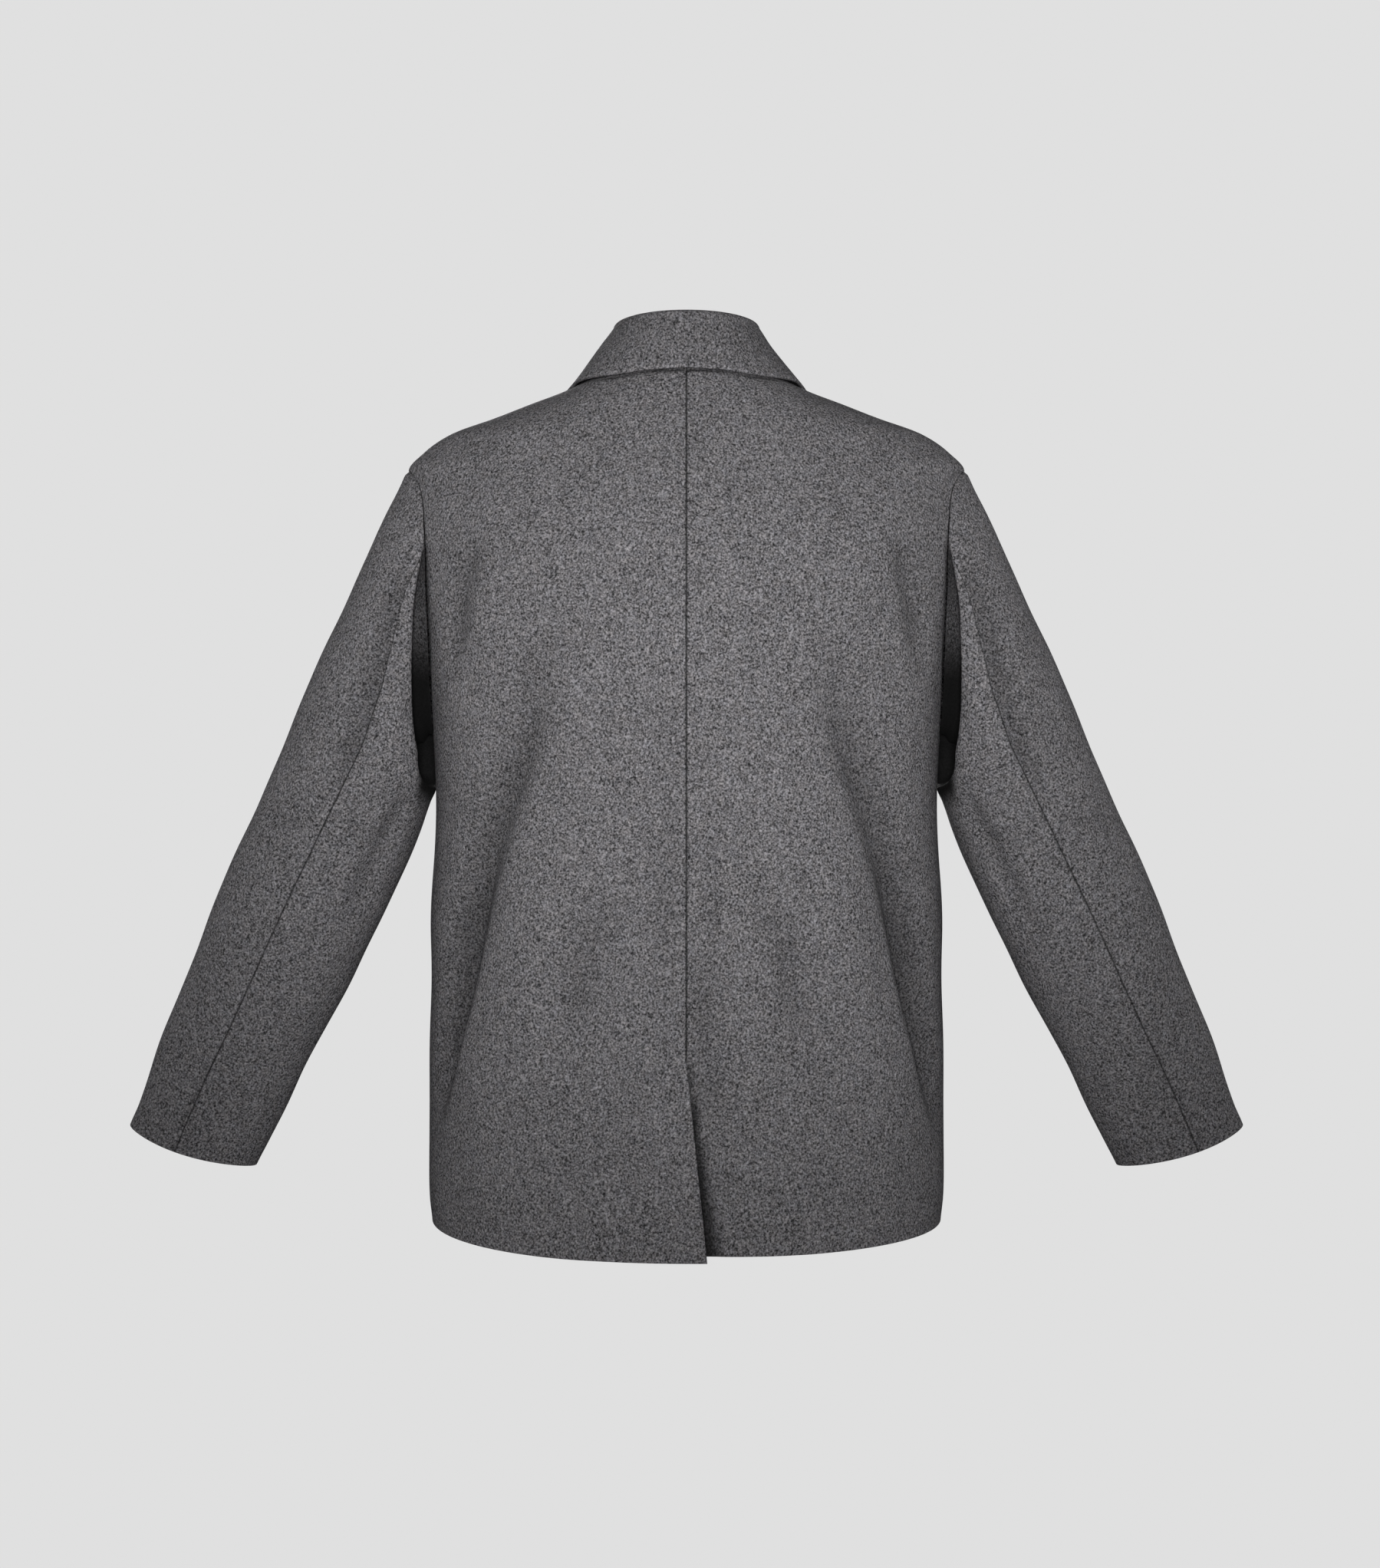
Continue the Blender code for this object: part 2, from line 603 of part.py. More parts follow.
def make_body(wool):
    """Two backs with the vent between them, and two fronts that lap."""
    backs = (
        ("back_left", HEM_BACK_LEFT, vent_edge_over, vent_lift, False),
        ("back_right", HEM_BACK_RIGHT, vent_edge_under, vent_sink, True),
    )
    for name, hem, edge, move, mirrored in backs:
        points, normals = body_panel(1, hem, edge, move, 0)
        wall(name, points, points - normals * CLOTH, wool, mirrored)
    fronts = (("front_left", no_move, False), ("front_right", front_sink, True))
    for name, move, mirrored in fronts:
        points, normals = body_panel(-1, HEM_FRONT, front_edge, move, LAP_COLUMNS)
        wall(name, points, points - normals * CLOTH, wool, mirrored)


def make_sleeves(wool):
    """A top sleeve and an under sleeve on each side."""
    pieces = (
        ("top_sleeve", "seam_front", "seam_back"),
        ("under_sleeve", "seam_back", "seam_front"),
    )
    for name, from_seam, to_seam in pieces:
        outer, inner = sleeve_panel(from_seam, to_seam)
        wall(name + "_left", outer, inner, wool)
        wall(name + "_right", outer, inner, wool, mirrored=True)


def make_collar(wool):
    """The stand, and the fall that rolls over it and lies on the shoulders."""
    stand = collar_stand()
    normals = grid_normals(stand)
    wall("collar_stand", stand, stand - normals * STAND_CLOTH, wool)
    fall, normals = collar_fall()
    half = normals * FALL_CLOTH / 2
    wall("collar_fall", fall + half, fall - half, wool)


def make_buttons(horn):
    """Dished buttons down the centre front, flat on the left front."""
    for number, height in enumerate(BUTTON_HEIGHTS, start=1):
        turn = np.array(-np.pi / 2)
        seat, out = form(turn, height), form_normal(turn, height)
        bm = bmesh.new()
        bmesh.ops.create_cone(
            bm,
            cap_ends=True,
            segments=BUTTON_SIDES,
            radius1=BUTTON_RADIUS,
            radius2=BUTTON_RADIUS,
            depth=BUTTON_THICK,
        )
        top = max(bm.faces, key=lambda face: face.calc_center_median().z)
        bmesh.ops.inset_individual(bm, faces=[top], thickness=BUTTON_RIM)
        bmesh.ops.translate(bm, verts=top.verts, vec=(0, 0, -BUTTON_DISH))
        mesh = bpy.data.meshes.new(f"button_{number}")
        bm.to_mesh(mesh)
        bm.free()
        mesh.materials.append(horn)
        button = bpy.data.objects.new(f"button_{number}", mesh)
        button.location = seat + out * (SEAM_GAP + BUTTON_THICK / 2)
        button.rotation_euler = Vector(out).to_track_quat("Z", "Y").to_euler()
        bpy.context.scene.collection.objects.link(button)


def main():
    for old in list(bpy.data.objects):
        bpy.data.objects.remove(old)
    wool, horn = make_material(*WOOL), make_material(*HORN)
    make_body(wool)
    make_sleeves(wool)
    make_collar(wool)
    make_buttons(horn)


main()
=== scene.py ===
"""Dresses the frame of a wool overshirt seen from behind, filled out with nobody in it.

Metres, +Z up. The front faces -Y and the wearer's left is +X. Every cloth panel of the frame is
replaced by a finer shell on the same garment form, with its seams, pressed edges and soft folds.
A point on the form has a turn, which is 0 at the side, +90 degrees at the centre back and -90
degrees at the centre front, and a height from the neck.
"""

import logging
from collections.abc import Sequence
from dataclasses import dataclass
from enum import Enum
from math import cos, pi, radians, sin
from typing import NamedTuple

import bmesh
import bpy
import numpy as np
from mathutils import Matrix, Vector


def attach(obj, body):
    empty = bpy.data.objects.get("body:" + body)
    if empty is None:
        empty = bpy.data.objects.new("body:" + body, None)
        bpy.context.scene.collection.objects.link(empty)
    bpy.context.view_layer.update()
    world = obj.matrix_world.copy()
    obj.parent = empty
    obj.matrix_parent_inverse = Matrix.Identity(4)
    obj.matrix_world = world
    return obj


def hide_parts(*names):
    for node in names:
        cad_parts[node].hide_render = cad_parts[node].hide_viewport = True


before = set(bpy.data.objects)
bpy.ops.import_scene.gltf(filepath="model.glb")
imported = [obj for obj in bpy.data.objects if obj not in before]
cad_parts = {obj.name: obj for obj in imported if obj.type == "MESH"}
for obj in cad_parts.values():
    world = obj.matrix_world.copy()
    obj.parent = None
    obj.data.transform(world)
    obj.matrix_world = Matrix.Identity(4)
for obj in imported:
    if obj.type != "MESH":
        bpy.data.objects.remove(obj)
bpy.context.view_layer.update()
BODY = "root"
LOG = logging.getLogger("overshirt")
Grid = np.ndarray
Colour = tuple[float, float, float, float]


class Ring(NamedTuple):
    """One level of the garment form."""

    height: float
    half_width: float
    back_depth: float
    front_depth: float
    fullness: float


BODY_RINGS = (
    Ring(-0.700, 0.2030, 0.1470, 0.1390, 2.30),
    Ring(-0.640, 0.2064, 0.1430, 0.1360, 2.30),
    Ring(-0.560, 0.2070, 0.1380, 0.1320, 2.30),
    Ring(-0.450, 0.2060, 0.1320, 0.1270, 2.30),
    Ring(-0.340, 0.2018, 0.1270, 0.1230, 2.30),
    Ring(-0.290, 0.2034, 0.1280, 0.1220, 2.30),
    Ring(-0.230, 0.2095, 0.1290, 0.1210, 2.30),
    Ring(-0.180, 0.2150, 0.1270, 0.1180, 2.30),
    Ring(-0.130, 0.2195, 0.1200, 0.1090, 2.20),
    Ring(-0.100, 0.2225, 0.1130, 0.1000, 2.00),
    Ring(-0.0744, 0.2245, 0.1050, 0.0900, 1.78),
    Ring(-0.0589, 0.2114, 0.0990, 0.0840, 1.74),
    Ring(-0.0465, 0.1934, 0.0950, 0.0790, 1.76),
    Ring(-0.0341, 0.1590, 0.0900, 0.0730, 1.82),
    Ring(-0.0217, 0.1250, 0.0840, 0.0680, 1.90),
    Ring(-0.0095, 0.0965, 0.0780, 0.0640, 1.95),
    Ring(0.0000, 0.0780, 0.0730, 0.0620, 2.00),
    Ring(0.0120, 0.0750, 0.0650, 0.0600, 2.00),
)


class SleeveRing(NamedTuple):
    """One section of the left sleeve: its outer and inner edge, depth, and seam turns."""

    below: float
    outer_x: float
    outer_z: float
    inner_x: float
    inner_z: float
    middle_y: float
    half_depth: float
    seam_back: float
    seam_front: float


SLEEVE_RINGS = (
    SleeveRing(0.000, 0.2245, -0.0744, 0.2034, -0.2900, -0.010, 0.050, 67.0, 255.0),
    SleeveRing(0.030, 0.2400, -0.1055, 0.2056, -0.2915, -0.009, 0.054, 69.5, 254.0),
    SleeveRing(0.080, 0.2640, -0.1550, 0.2052, -0.2990, -0.008, 0.058, 84.0, 252.0),
    SleeveRing(0.130, 0.2850, -0.2010, 0.2046, -0.3120, -0.008, 0.060, 91.0, 251.0),
    SleeveRing(0.180, 0.3050, -0.2450, 0.2050, -0.3290, -0.009, 0.060, 91.0, 250.0),
    SleeveRing(0.240, 0.3280, -0.2980, 0.2125, -0.3555, -0.011, 0.058, 88.5, 250.0),
    SleeveRing(0.300, 0.3505, -0.3500, 0.2330, -0.4035, -0.013, 0.054, 86.0, 250.0),
    SleeveRing(0.360, 0.3745, -0.4020, 0.2588, -0.4575, -0.016, 0.050, 85.0, 250.0),
    SleeveRing(0.420, 0.3945, -0.4480, 0.2822, -0.5035, -0.020, 0.046, 85.0, 250.0),
    SleeveRing(0.480, 0.4125, -0.4950, 0.3058, -0.5475, -0.025, 0.042, 84.0, 250.0),
    SleeveRing(0.540, 0.4348, -0.5500, 0.3300, -0.5945, -0.031, 0.038, 82.0, 250.0),
    SleeveRing(0.595, 0.4575, -0.6110, 0.3545, -0.6430, -0.036, 0.036, 81.0, 250.0),
)


def cubic(start: Grid, start_slope: Grid, end: Grid, end_slope: Grid, t: Grid) -> Grid:
    """A cubic from start to end with those slopes at its ends, as t goes from 0 to 1.

    Args:
        start: Value where t is 0.
        start_slope: Slope there.
        end: Value where t is 1.
        end_slope: Slope there.
        t: Places from 0 to 1.

    Returns:
        The cubic at each place.
    """
    return (
        start * (1 + 2 * t) * (1 - t) ** 2
        + start_slope * t * (1 - t) ** 2
        + end * t**2 * (3 - 2 * t)
        + end_slope * t**2 * (t - 1)
    )


def smooth(known: Sequence[float], values: Sequence[float], at: Grid) -> Grid:
    """A smooth curve through known values that never swings past them (monotone cubic).

    Args:
        known: Rising places of the values.
        values: The value at each place.
        at: Where the curve is wanted.

    Returns:
        The curve's value at each place of at.
    """
    known, values, at = (np.asarray(a, float) for a in (known, values, at))
    step = np.diff(known)
    rise = np.diff(values) / step
    slope = np.zeros_like(values)
    slope[0], slope[-1] = rise[0], rise[-1]
    same = rise[:-1] * rise[1:] > 0
    total = np.where(same, rise[:-1] + rise[1:], 1.0)
    slope[1:-1] = np.where(same, 2 * rise[:-1] * rise[1:] / total, 0.0)
    i = np.clip(np.searchsorted(known, at, side="right") - 1, 0, len(step) - 1)
    t = np.clip((at - known[i]) / step[i], 0, 1)
    h = step[i]
    return cubic(values[i], slope[i] * h, values[i + 1], slope[i + 1] * h, t)


def column(rows: Sequence[NamedTuple], name: str) -> Grid:
    """One named column of a table."""
    return np.array([getattr(row, name) for row in rows])


def ease(t: Grid) -> Grid:
    """0 before 0, 1 after 1, and a smooth step between."""
    t = np.clip(t, 0, 1)
    return t * t * (3 - 2 * t)


def bell(x: Grid, half: float) -> Grid:
    """1 at 0, falling away on both sides: e^-(x/half)^2."""
    return np.exp(-((x / half) ** 2))


def unit(v: Grid) -> Grid:
    """Directions of length 1."""
    return v / np.linalg.norm(v, axis=-1, keepdims=True)


def dot(a: Grid, b: Grid) -> Grid:
    """Dot products over the last axis."""
    return (a * b).sum(axis=-1)


def surface_normals(points: Grid) -> Grid:
    """Directions square to a grid: along its columns crossed with along its rows.

    Args:
        points: Grid of points, rows by columns by 3.

    Returns:
        Unit directions on the same grid.
    """
    return unit(np.cross(np.gradient(points, axis=1), np.gradient(points, axis=0)))


def spline_weights(count: int, at: Grid, corners: Sequence[int] = ()) -> Grid:
    """Weights that carry a row of knots to a smooth curve through them.

    Between two corners each cell is a cubic whose end slopes come from the knots beside it, so
    the curve bends smoothly there and keeps its corners.

    Args:
        count: How many knots there are.
        at: Places on the curve, where a whole number is a knot.
        corners: Knots where the curve may turn sharply.

    Returns:
        One row of weights for each place.
    """
    weights = np.zeros((len(at), count))
    ends = (0, *corners, count - 1)
    for first, last in zip(ends, ends[1:]):
        inside = (at >= first) & (at <= last)
        own = np.eye(last - first + 1)
        slope = np.gradient(own, axis=0, edge_order=2)
        start = np.clip(at[inside].astype(int) - first, 0, last - first - 1)
        t = (at[inside] - first - start)[:, None]
        cell = cubic(own[start], slope[start], own[start + 1], slope[start + 1], t)
        weights[inside, first : last + 1] = cell
    return weights


EDGE_GAP = 0.6
EDGE_STEPS = (0.0, 0.007, 0.015, 0.024, 0.036, 0.052, 0.075, 0.108, 0.155, 0.22, 0.31, 0.42)


def places(cells: int, split: int, first: int = 0, scale: float = 1.0) -> Grid:
    """Places along a row of cells, even inside and crowded at both ends for rounded edges.

    Args:
        cells: Number of cells from place 0 on.
        split: Steps inside a cell.
        first: Where the row starts, 0 or below.
        scale: Stretches the crowded steps, for cells shorter than usual.

    Returns:
        Rising places from first to cells.
    """
    crowd = np.array(EDGE_STEPS) * scale
    reach = crowd[-1]
    even = np.arange(first * split, cells * split + 1) / split
    gap = EDGE_GAP / split
    even = even[(even > first + reach + gap) & (even < cells - reach - gap)]
    return np.concatenate([first + crowd, even, cells - crowd[::-1]])


@dataclass(frozen=True)
class GarmentForm:
    """The rounded form that the body panels lie on, with its armholes, neck and hem."""

    rings: tuple[Ring, ...] = BODY_RINGS
    armpit: float = -0.2900
    shoulder_tip: float = -0.0744
    armpit_forward: float = -0.0200
    tip_forward: float = -0.0030
    armhole_back: float = 0.0560
    armhole_front: float = 0.0500
    armhole_lean: float = 0.10
    armhole_fullness: float = 0.75
    neck_back: float = 0.0080
    neck_front: float = -0.0720
    neck_half_width: float = 0.0780
    neck_scoop: float = 1.6
    hem_side: float = -0.6765
    hem_curve: float = 1.2

    def sizes(self, turn: Grid, height: Grid) -> tuple[Grid, Grid, Grid]:
        """Half width, depth on the turn's side, and fullness at each point.

        Args:
            turn: Turns round the form, in radians.
            height: Heights from the neck.

        Returns:
            The three sizes.
        """
        heights = column(self.rings, "height")
        width, back, front, full = (
            smooth(heights, column(self.rings, name), height)
            for name in ("half_width", "back_depth", "front_depth", "fullness")
        )
        return width, np.where(np.sin(turn) >= 0, back, front), full

    def point(self, turn: Grid, height: Grid) -> Grid:
        """Points of the form: a rounded ring |x/width|^n + |y/depth|^n = 1 at each height.

        Args:
            turn: Turns round the form, in radians.
            height: Heights from the neck.

        Returns:
            Points, three numbers on the last axis.
        """
        turn, height = np.broadcast_arrays(np.asarray(turn, float), np.asarray(height, float))
        width, depth, full = self.sizes(turn, height)
        across, along = np.cos(turn), np.sin(turn)
        x = width * np.sign(across) * np.abs(across) ** (2 / full)
        y = depth * np.sign(along) * np.abs(along) ** (2 / full)
        return np.stack([x, y, height], axis=-1)

    def normal(self, turn: Grid, height: Grid) -> Grid:
        """Directions straight out of the form, from the points close by on each side.

        Args:
            turn: Turns round the form, in radians.
            height: Heights from the neck.

        Returns:
            Unit directions.
        """
        near_turn, near_height = 0.03, 0.002
        around = self.point(turn + near_turn, height) - self.point(turn - near_turn, height)
        up = self.point(turn, height + near_height) - self.point(turn, height - near_height)
        return unit(np.cross(around, up))

    def turn_at_depth(self, y: Grid, height: Grid) -> Grid:
        """The turn where the form is that far behind or in front of the side line."""
        _, depth, full = self.sizes(np.sign(y), height)
        return np.sign(y) * np.arcsin(np.clip(np.abs(y) / depth, 0, 1) ** (full / 2))

    def turn_at_width(self, x: Grid, height: Grid, side: int) -> Grid:
        """The turn where the form is that far from the middle, on the back or the front."""
        width, _, full = self.sizes(np.full(np.shape(x), side), height)
        return side * np.arccos(np.sign(x) * np.clip(np.abs(x) / width, 0, 1) ** (full / 2))

    def armhole(self, reach: Grid, side: int) -> tuple[Grid, Grid]:
        """Turn and height of the armhole, which bows back or forward from its two ends.

        Args:
            reach: 0 at the armpit, 1 at the shoulder tip.
            side: 1 for the back half, -1 for the front half.

        Returns:
            Turns and heights.
        """
        lean = 1 - self.armhole_lean * np.cos(np.pi * reach)
        bow = np.maximum(np.sin(np.pi * reach), 0) ** self.armhole_fullness * lean
        size = self.armhole_back if side > 0 else -self.armhole_front
        y = self.armpit_forward + (self.tip_forward - self.armpit_forward) * reach + size * bow
        rise = (1 - np.cos(np.pi * reach)) / 2
        height = self.armpit + (self.shoulder_tip - self.armpit) * rise
        return self.turn_at_depth(y, height), height

    def ridge_turn(self) -> float:
        """The turn of the shoulder seam, from the shoulder tip to the neck point."""
        return float(self.armhole(np.array(1.0), 1)[0])

    def neck_height(self, angle: Grid) -> Grid:
        """Height of the neck seam, by its angle in the top view.

        Args:
            angle: Angles round the neck in the top view, in radians.

        Returns:
            Heights from the neck.
        """
        back = self.neck_back * np.sin(angle) ** 2
        front = self.neck_front * np.abs(np.sin(angle)) ** self.neck_scoop
        return np.where(angle >= 0, back, front)

    def neck(self, angle: Grid) -> tuple[Grid, Grid]:
        """Turn and height of the neck seam, by its angle in the top view.

        Args:
            angle: Angles round the neck in the top view, in radians.

        Returns:
            Turns and heights.
        """
        height = self.neck_height(angle)
        front_turn = self.turn_at_width(self.neck_half_width * np.cos(angle), height, -1)
        return np.where(angle >= 0, angle, front_turn), height

    def hem_height(self, turn: Grid, middle_height: float) -> Grid:
        """The hem, lowest at the centre and lifting to the side seams."""
        rise = np.abs(np.sin(turn)) ** self.hem_curve
        return self.hem_side + (middle_height - self.hem_side) * rise


FORM = GarmentForm()


@dataclass(frozen=True)
class SleeveForm:
    """The left sleeve: rings from its outer to its inner edge, shaped into the armhole."""

    rings: tuple[SleeveRing, ...] = SLEEVE_RINGS
    cap_length: float = 0.150
    rim_gap: float = 0.00024
    cuff_dip: float = 0.008

    def ring(self, angle: Grid, below: Grid) -> Grid:
        """Points of the sleeve's own rings, angle being 0 on top and 90 degrees at the back.

        Args:
            angle: Angles round the sleeve, in radians.
            below: Distances below the sleeve's top.

        Returns:
            Points, three numbers on the last axis.
        """
        known = column(self.rings, "below")
        outer_x, outer_z, inner_x, inner_z, middle_y, half_depth = (
            smooth(known, column(self.rings, name), below)
            for name in ("outer_x", "outer_z", "inner_x", "inner_z", "middle_y", "half_depth")
        )
        toward_outer = (1 + np.cos(angle)) / 2
        x = inner_x + (outer_x - inner_x) * toward_outer
        z = inner_z + (outer_z - inner_z) * toward_outer
        return np.stack([x, middle_y + half_depth * np.sin(angle), z], axis=-1)

    def rim(self, angle: Grid) -> Grid:
        """Where the sleeve starts: the armhole, a seam's gap out of it and into its hole.

        Args:
            angle: Angles round the sleeve, in radians.

        Returns:
            Points, three numbers on the last axis.
        """
        angle = (angle + np.pi) % (2 * np.pi) - np.pi
        reach = 1 - np.abs(angle) / np.pi
        ends, outs = [], []
        for side in (1, -1):
            turn, height = FORM.armhole(reach, side)
            ends.append(FORM.point(turn, height))
            outs.append(FORM.normal(turn, height))
        back = (angle >= 0)[..., None]
        rim, out = np.where(back, ends[0], ends[1]), np.where(back, outs[0], outs[1])
        tip, pit = (FORM.point(*FORM.armhole(np.array(end), 1)) for end in (1.0, 0.0))
        into = (tip + pit) / 2 - rim
        into = unit(into - dot(into, out)[..., None] * out)
        return rim + (out + into) * self.rim_gap

    def point(self, angle: Grid, below: Grid) -> Grid:
        """Points of the sleeve: its rings, moved onto the armhole over the sleeve cap.

        Args:
            angle: Angles round the sleeve, in radians.
            below: Distances below the sleeve's top.

        Returns:
            Points, three numbers on the last axis.
        """
        angle, below = np.broadcast_arrays(angle, below)
        cap = 1 - ease(below / self.cap_length)
        moved = self.rim(angle) - self.ring(angle, np.zeros_like(below))
        return self.ring(angle, below) + moved * cap[..., None]


SLEEVE = SleeveForm()


class Crease(NamedTuple):
    """A soft fold: places along its line, half width in metres, depth out of the form.

    A place is a turn in degrees and a height on the body, an angle in degrees and a distance
    below the shoulder on a sleeve. Depth is below 0 for a trough. Flank raises the cloth beside
    a trough, and lean makes one side of it steeper. Fade is the share of the line over which it
    starts and ends, and dark is the share of light lost down in it.
    """

    line: tuple[tuple[float, float], ...]
    half_width: float
    depth: float
    flank: float = 0.25
    lean: float = 0.0
    fade: float = 0.35
    # Painted shade down in the fold, taken out of the cloth's colour.
    dark: float = 0.0


CREASE_SAMPLES = 60
THIN_CREASE_SAMPLES = 260
THIN_CREASE = 0.003


def crease_relief(
    points: Grid, out: Grid, creases: Sequence[Crease], form: GarmentForm | SleeveForm
) -> tuple[Grid, Grid]:
    """How far soft folds move the cloth: depth * (1 - 2 flank q) * e^-q, q = (distance/width)^2.

    Args:
        points: Points of the cloth before its folds.
        out: Directions out of the cloth at those points.
        creases: The folds, each with its line in the form's own two places.
        form: What the folds' lines are drawn on.

    Returns:
        Distance outwards at each point, and the painted shade down in the folds, as a share of
        light lost.
    """
    moved = np.zeros(points.shape[:-1])
    lit = np.ones(points.shape[:-1])
    for crease in creases:
        knots = np.array(crease.line)
        samples = CREASE_SAMPLES if crease.half_width > THIN_CREASE else THIN_CREASE_SAMPLES
        at = np.linspace(0, len(knots) - 1, samples)
        first, second = (spline_weights(len(knots), at) @ knots).T
        line = form.point(np.radians(first), second)
        nearest = np.full(moved.shape, np.inf)
        index = np.zeros(moved.shape, int)
        for step, place in enumerate(line):
            far = ((points - place) ** 2).sum(axis=-1)
            index = np.where(far < nearest, step, index)
            nearest = np.minimum(nearest, far)
        along = index / (samples - 1)
        across = np.cross(unit(np.gradient(line, axis=0))[index], out)
        signed = dot(points - line[index], across)
        width = crease.half_width * (1 + crease.lean * np.tanh(signed / crease.half_width))
        q = nearest / width**2
        taper = ease(along / crease.fade) * ease((1 - along) / crease.fade)
        moved = moved + crease.depth * taper * (1 - 2 * crease.flank * q) * np.exp(-q)
        # Painted shade down in this fold.
        lit = lit * (1 - crease.dark * taper * np.exp(-q))
    return moved, 1 - lit


class Wave(NamedTuple):
    """One gentle ripple of the cloth: its direction over its length, phase and height."""

    per_metre: tuple[float, float, float]
    phase: float
    height: float


WAVE_FADE = 0.02
HAND_WAVES = (
    Wave((61.0, 23.0, 17.0), 0.4, 0.00035),
    Wave((-38.0, 31.0, 29.0), 2.1, 0.00045),
    Wave((83.0, -41.0, -22.0), 4.0, 0.00022),
    Wave((27.0, 12.0, 52.0), 5.2, 0.00040),
    Wave((-97.0, 60.0, 71.0), 1.3, 0.00014),
)


def hand_waves(points: Grid) -> Grid:
    """How far the small unevenness of lived-in cloth moves it: a sum of slanting sine waves.

    Args:
        points: Points of the cloth.

    Returns:
        Distance outwards at each point.
    """
    return sum(
        wave.height * np.sin(points @ np.array(wave.per_metre) + wave.phase)
        for wave in HAND_WAVES
    )


class EdgeShape(NamedTuple):
    """How cloth meets its edge: rounding outside and inside, and a sewn seam's valley."""

    round_outer: float
    round_inner: float
    valley: float
    valley_reach: float


class Edge(Enum):
    """The edges a panel can have."""

    SEAM = EdgeShape(0.0006, 0.0, 0.00035, 0.0040)
    FOLDED = EdgeShape(0.0011, 0.0009, 0.0, 0.001)


PUCKER_PER_METRE = 430.0
PUCKER_DRIFT = 118.0
PUCKER_SHARE = 0.30
PUCKER_SLANT = (0.7, 0.3, 1.0)
PUCKER_BEND = 1.7


def pucker(points: Grid) -> Grid:
    """How strongly a seam pulls in, wavering along it the same way on both of its sides.

    Args:
        points: Points of the cloth.

    Returns:
        Strength at each point, about 1.
    """
    place = points @ np.array(PUCKER_SLANT)
    drift = np.sin(place * PUCKER_DRIFT)
    return 1 + PUCKER_SHARE * np.sin(place * PUCKER_PER_METRE + PUCKER_BEND * drift)


def edge_relief(
    points: Grid, distance: Grid, edge: Edge, share: Grid | float = 1.0
) -> tuple[Grid, Grid]:
    """How far an edge sinks the outer side and lifts the inner side of a panel.

    Args:
        points: Points of the panel.
        distance: Distance from the edge.
        edge: The kind of edge.
        share: How much of it is there, from 0 to 1.

    Returns:
        Sink of the outer side and of the inner side, both towards the wall's middle.
    """
    shape = edge.value

    def quarter_round(radius: float) -> Grid:
        """A quarter circle that drops by its radius at the edge.

        Args:
            radius: The circle's radius.

        Returns:
            Sink at each point.
        """
        if radius == 0:
            return np.zeros_like(distance)
        t = np.clip(distance / radius, 0, 1)
        return radius * (1 - np.sqrt(1 - (1 - t) ** 2))

    valley = shape.valley * bell(distance, shape.valley_reach) * pucker(points)
    return (quarter_round(shape.round_outer) + valley) * share, quarter_round(shape.round_inner)


MOST_OUTER_SINK = 0.9
MOST_INNER_SINK = 0.5


def edge_sinks(points: Grid, edges: Sequence[tuple], cloth: float) -> tuple[Grid, Grid]:
    """How far all the edges of a panel sink its outer side and lift its inner side.

    Args:
        points: Points of the panel.
        edges: Each edge's distances, kind and share.
        cloth: The cloth's thickness, which limits both.

    Returns:
        Sink of the outer side and of the inner side.
    """
    sinks = [edge_relief(points, *edge) for edge in edges]
    outer, inner = (sum(sink[side] for sink in sinks) for side in (0, 1))
    return np.minimum(outer, cloth * MOST_OUTER_SINK), np.minimum(inner, cloth * MOST_INNER_SINK)


HEM_STEP = 0.004
HEM_FOLD = 0.003


def hemmed_thickness(cloth: float, extra: float, turn: float, from_edge: Grid) -> Grid:
    """The wall's thickness, with the cloth that is turned up inside a hem of that width."""
    turned = extra * (1 - ease((from_edge - turn) / HEM_STEP))
    return cloth + turned * ease(from_edge / HEM_FOLD)


def run_lengths(points: Grid, axis: int) -> Grid:
    """Distance along a grid's rows or columns from their first point.

    Args:
        points: Grid of points.
        axis: 0 to go down the columns, 1 to go along the rows.

    Returns:
        Distances on the same grid.
    """
    step = np.linalg.norm(np.diff(points, axis=axis), axis=-1)
    pad = [(0, 0), (0, 0)]
    pad[axis] = (1, 0)
    return np.pad(np.cumsum(step, axis=axis), pad)


# SEAM_LINE and SEAM_DARK give the painted shade down each seam line: its width and its darkness.
SEAM_LINE = 0.00075
SEAM_OVERLAP = 0.0004
SEAM_DARK = 0.80


def seam_shade(*distances: Grid) -> Grid:
    """Painted shade along the lines of the seams, fading to 0 a millimetre or two off them."""
    return np.maximum.reduce([SEAM_DARK * bell(distance, SEAM_LINE) for distance in distances])


def both_shades(first: Grid, second: Grid) -> Grid:
    """The share of light lost where two painted shades lie over each other."""
    return 1 - (1 - first) * (1 - second)


def add_object(name: str, data: bpy.types.ID) -> bpy.types.Object:
    """An object with that data, linked to the scene.

    Args:
        name: The object's name.
        data: Its mesh, camera or light.

    Returns:
        The new object.
    """
    made = bpy.data.objects.new(name, data)
    bpy.context.scene.collection.objects.link(made)
    return made


def wall_faces(rows: int, columns: int) -> Grid:
    """The faces of a thin wall: both skins of a grid, and the strip round their edges.

    Args:
        rows: Rows of points.
        columns: Columns of points.

    Returns:
        Four point numbers for each face, the outer skin's points coming first.
    """
    index = np.arange(rows * columns).reshape(rows, columns)
    a, b = index[:-1, :-1].ravel(), index[:-1, 1:].ravel()
    c, d = index[1:, 1:].ravel(), index[1:, :-1].ravel()
    skin = np.stack([a, b, c, d], axis=1)
    rim = np.concatenate([index[0], index[1:, -1], index[-1, -2::-1], index[-2:0:-1, 0]])
    after, total = np.roll(rim, -1), rows * columns
    edge = np.stack([rim, rim + total, after + total, after], axis=1)
    return np.concatenate([skin, skin[:, ::-1] + total, edge])


SHARP_EDGE = radians(65)


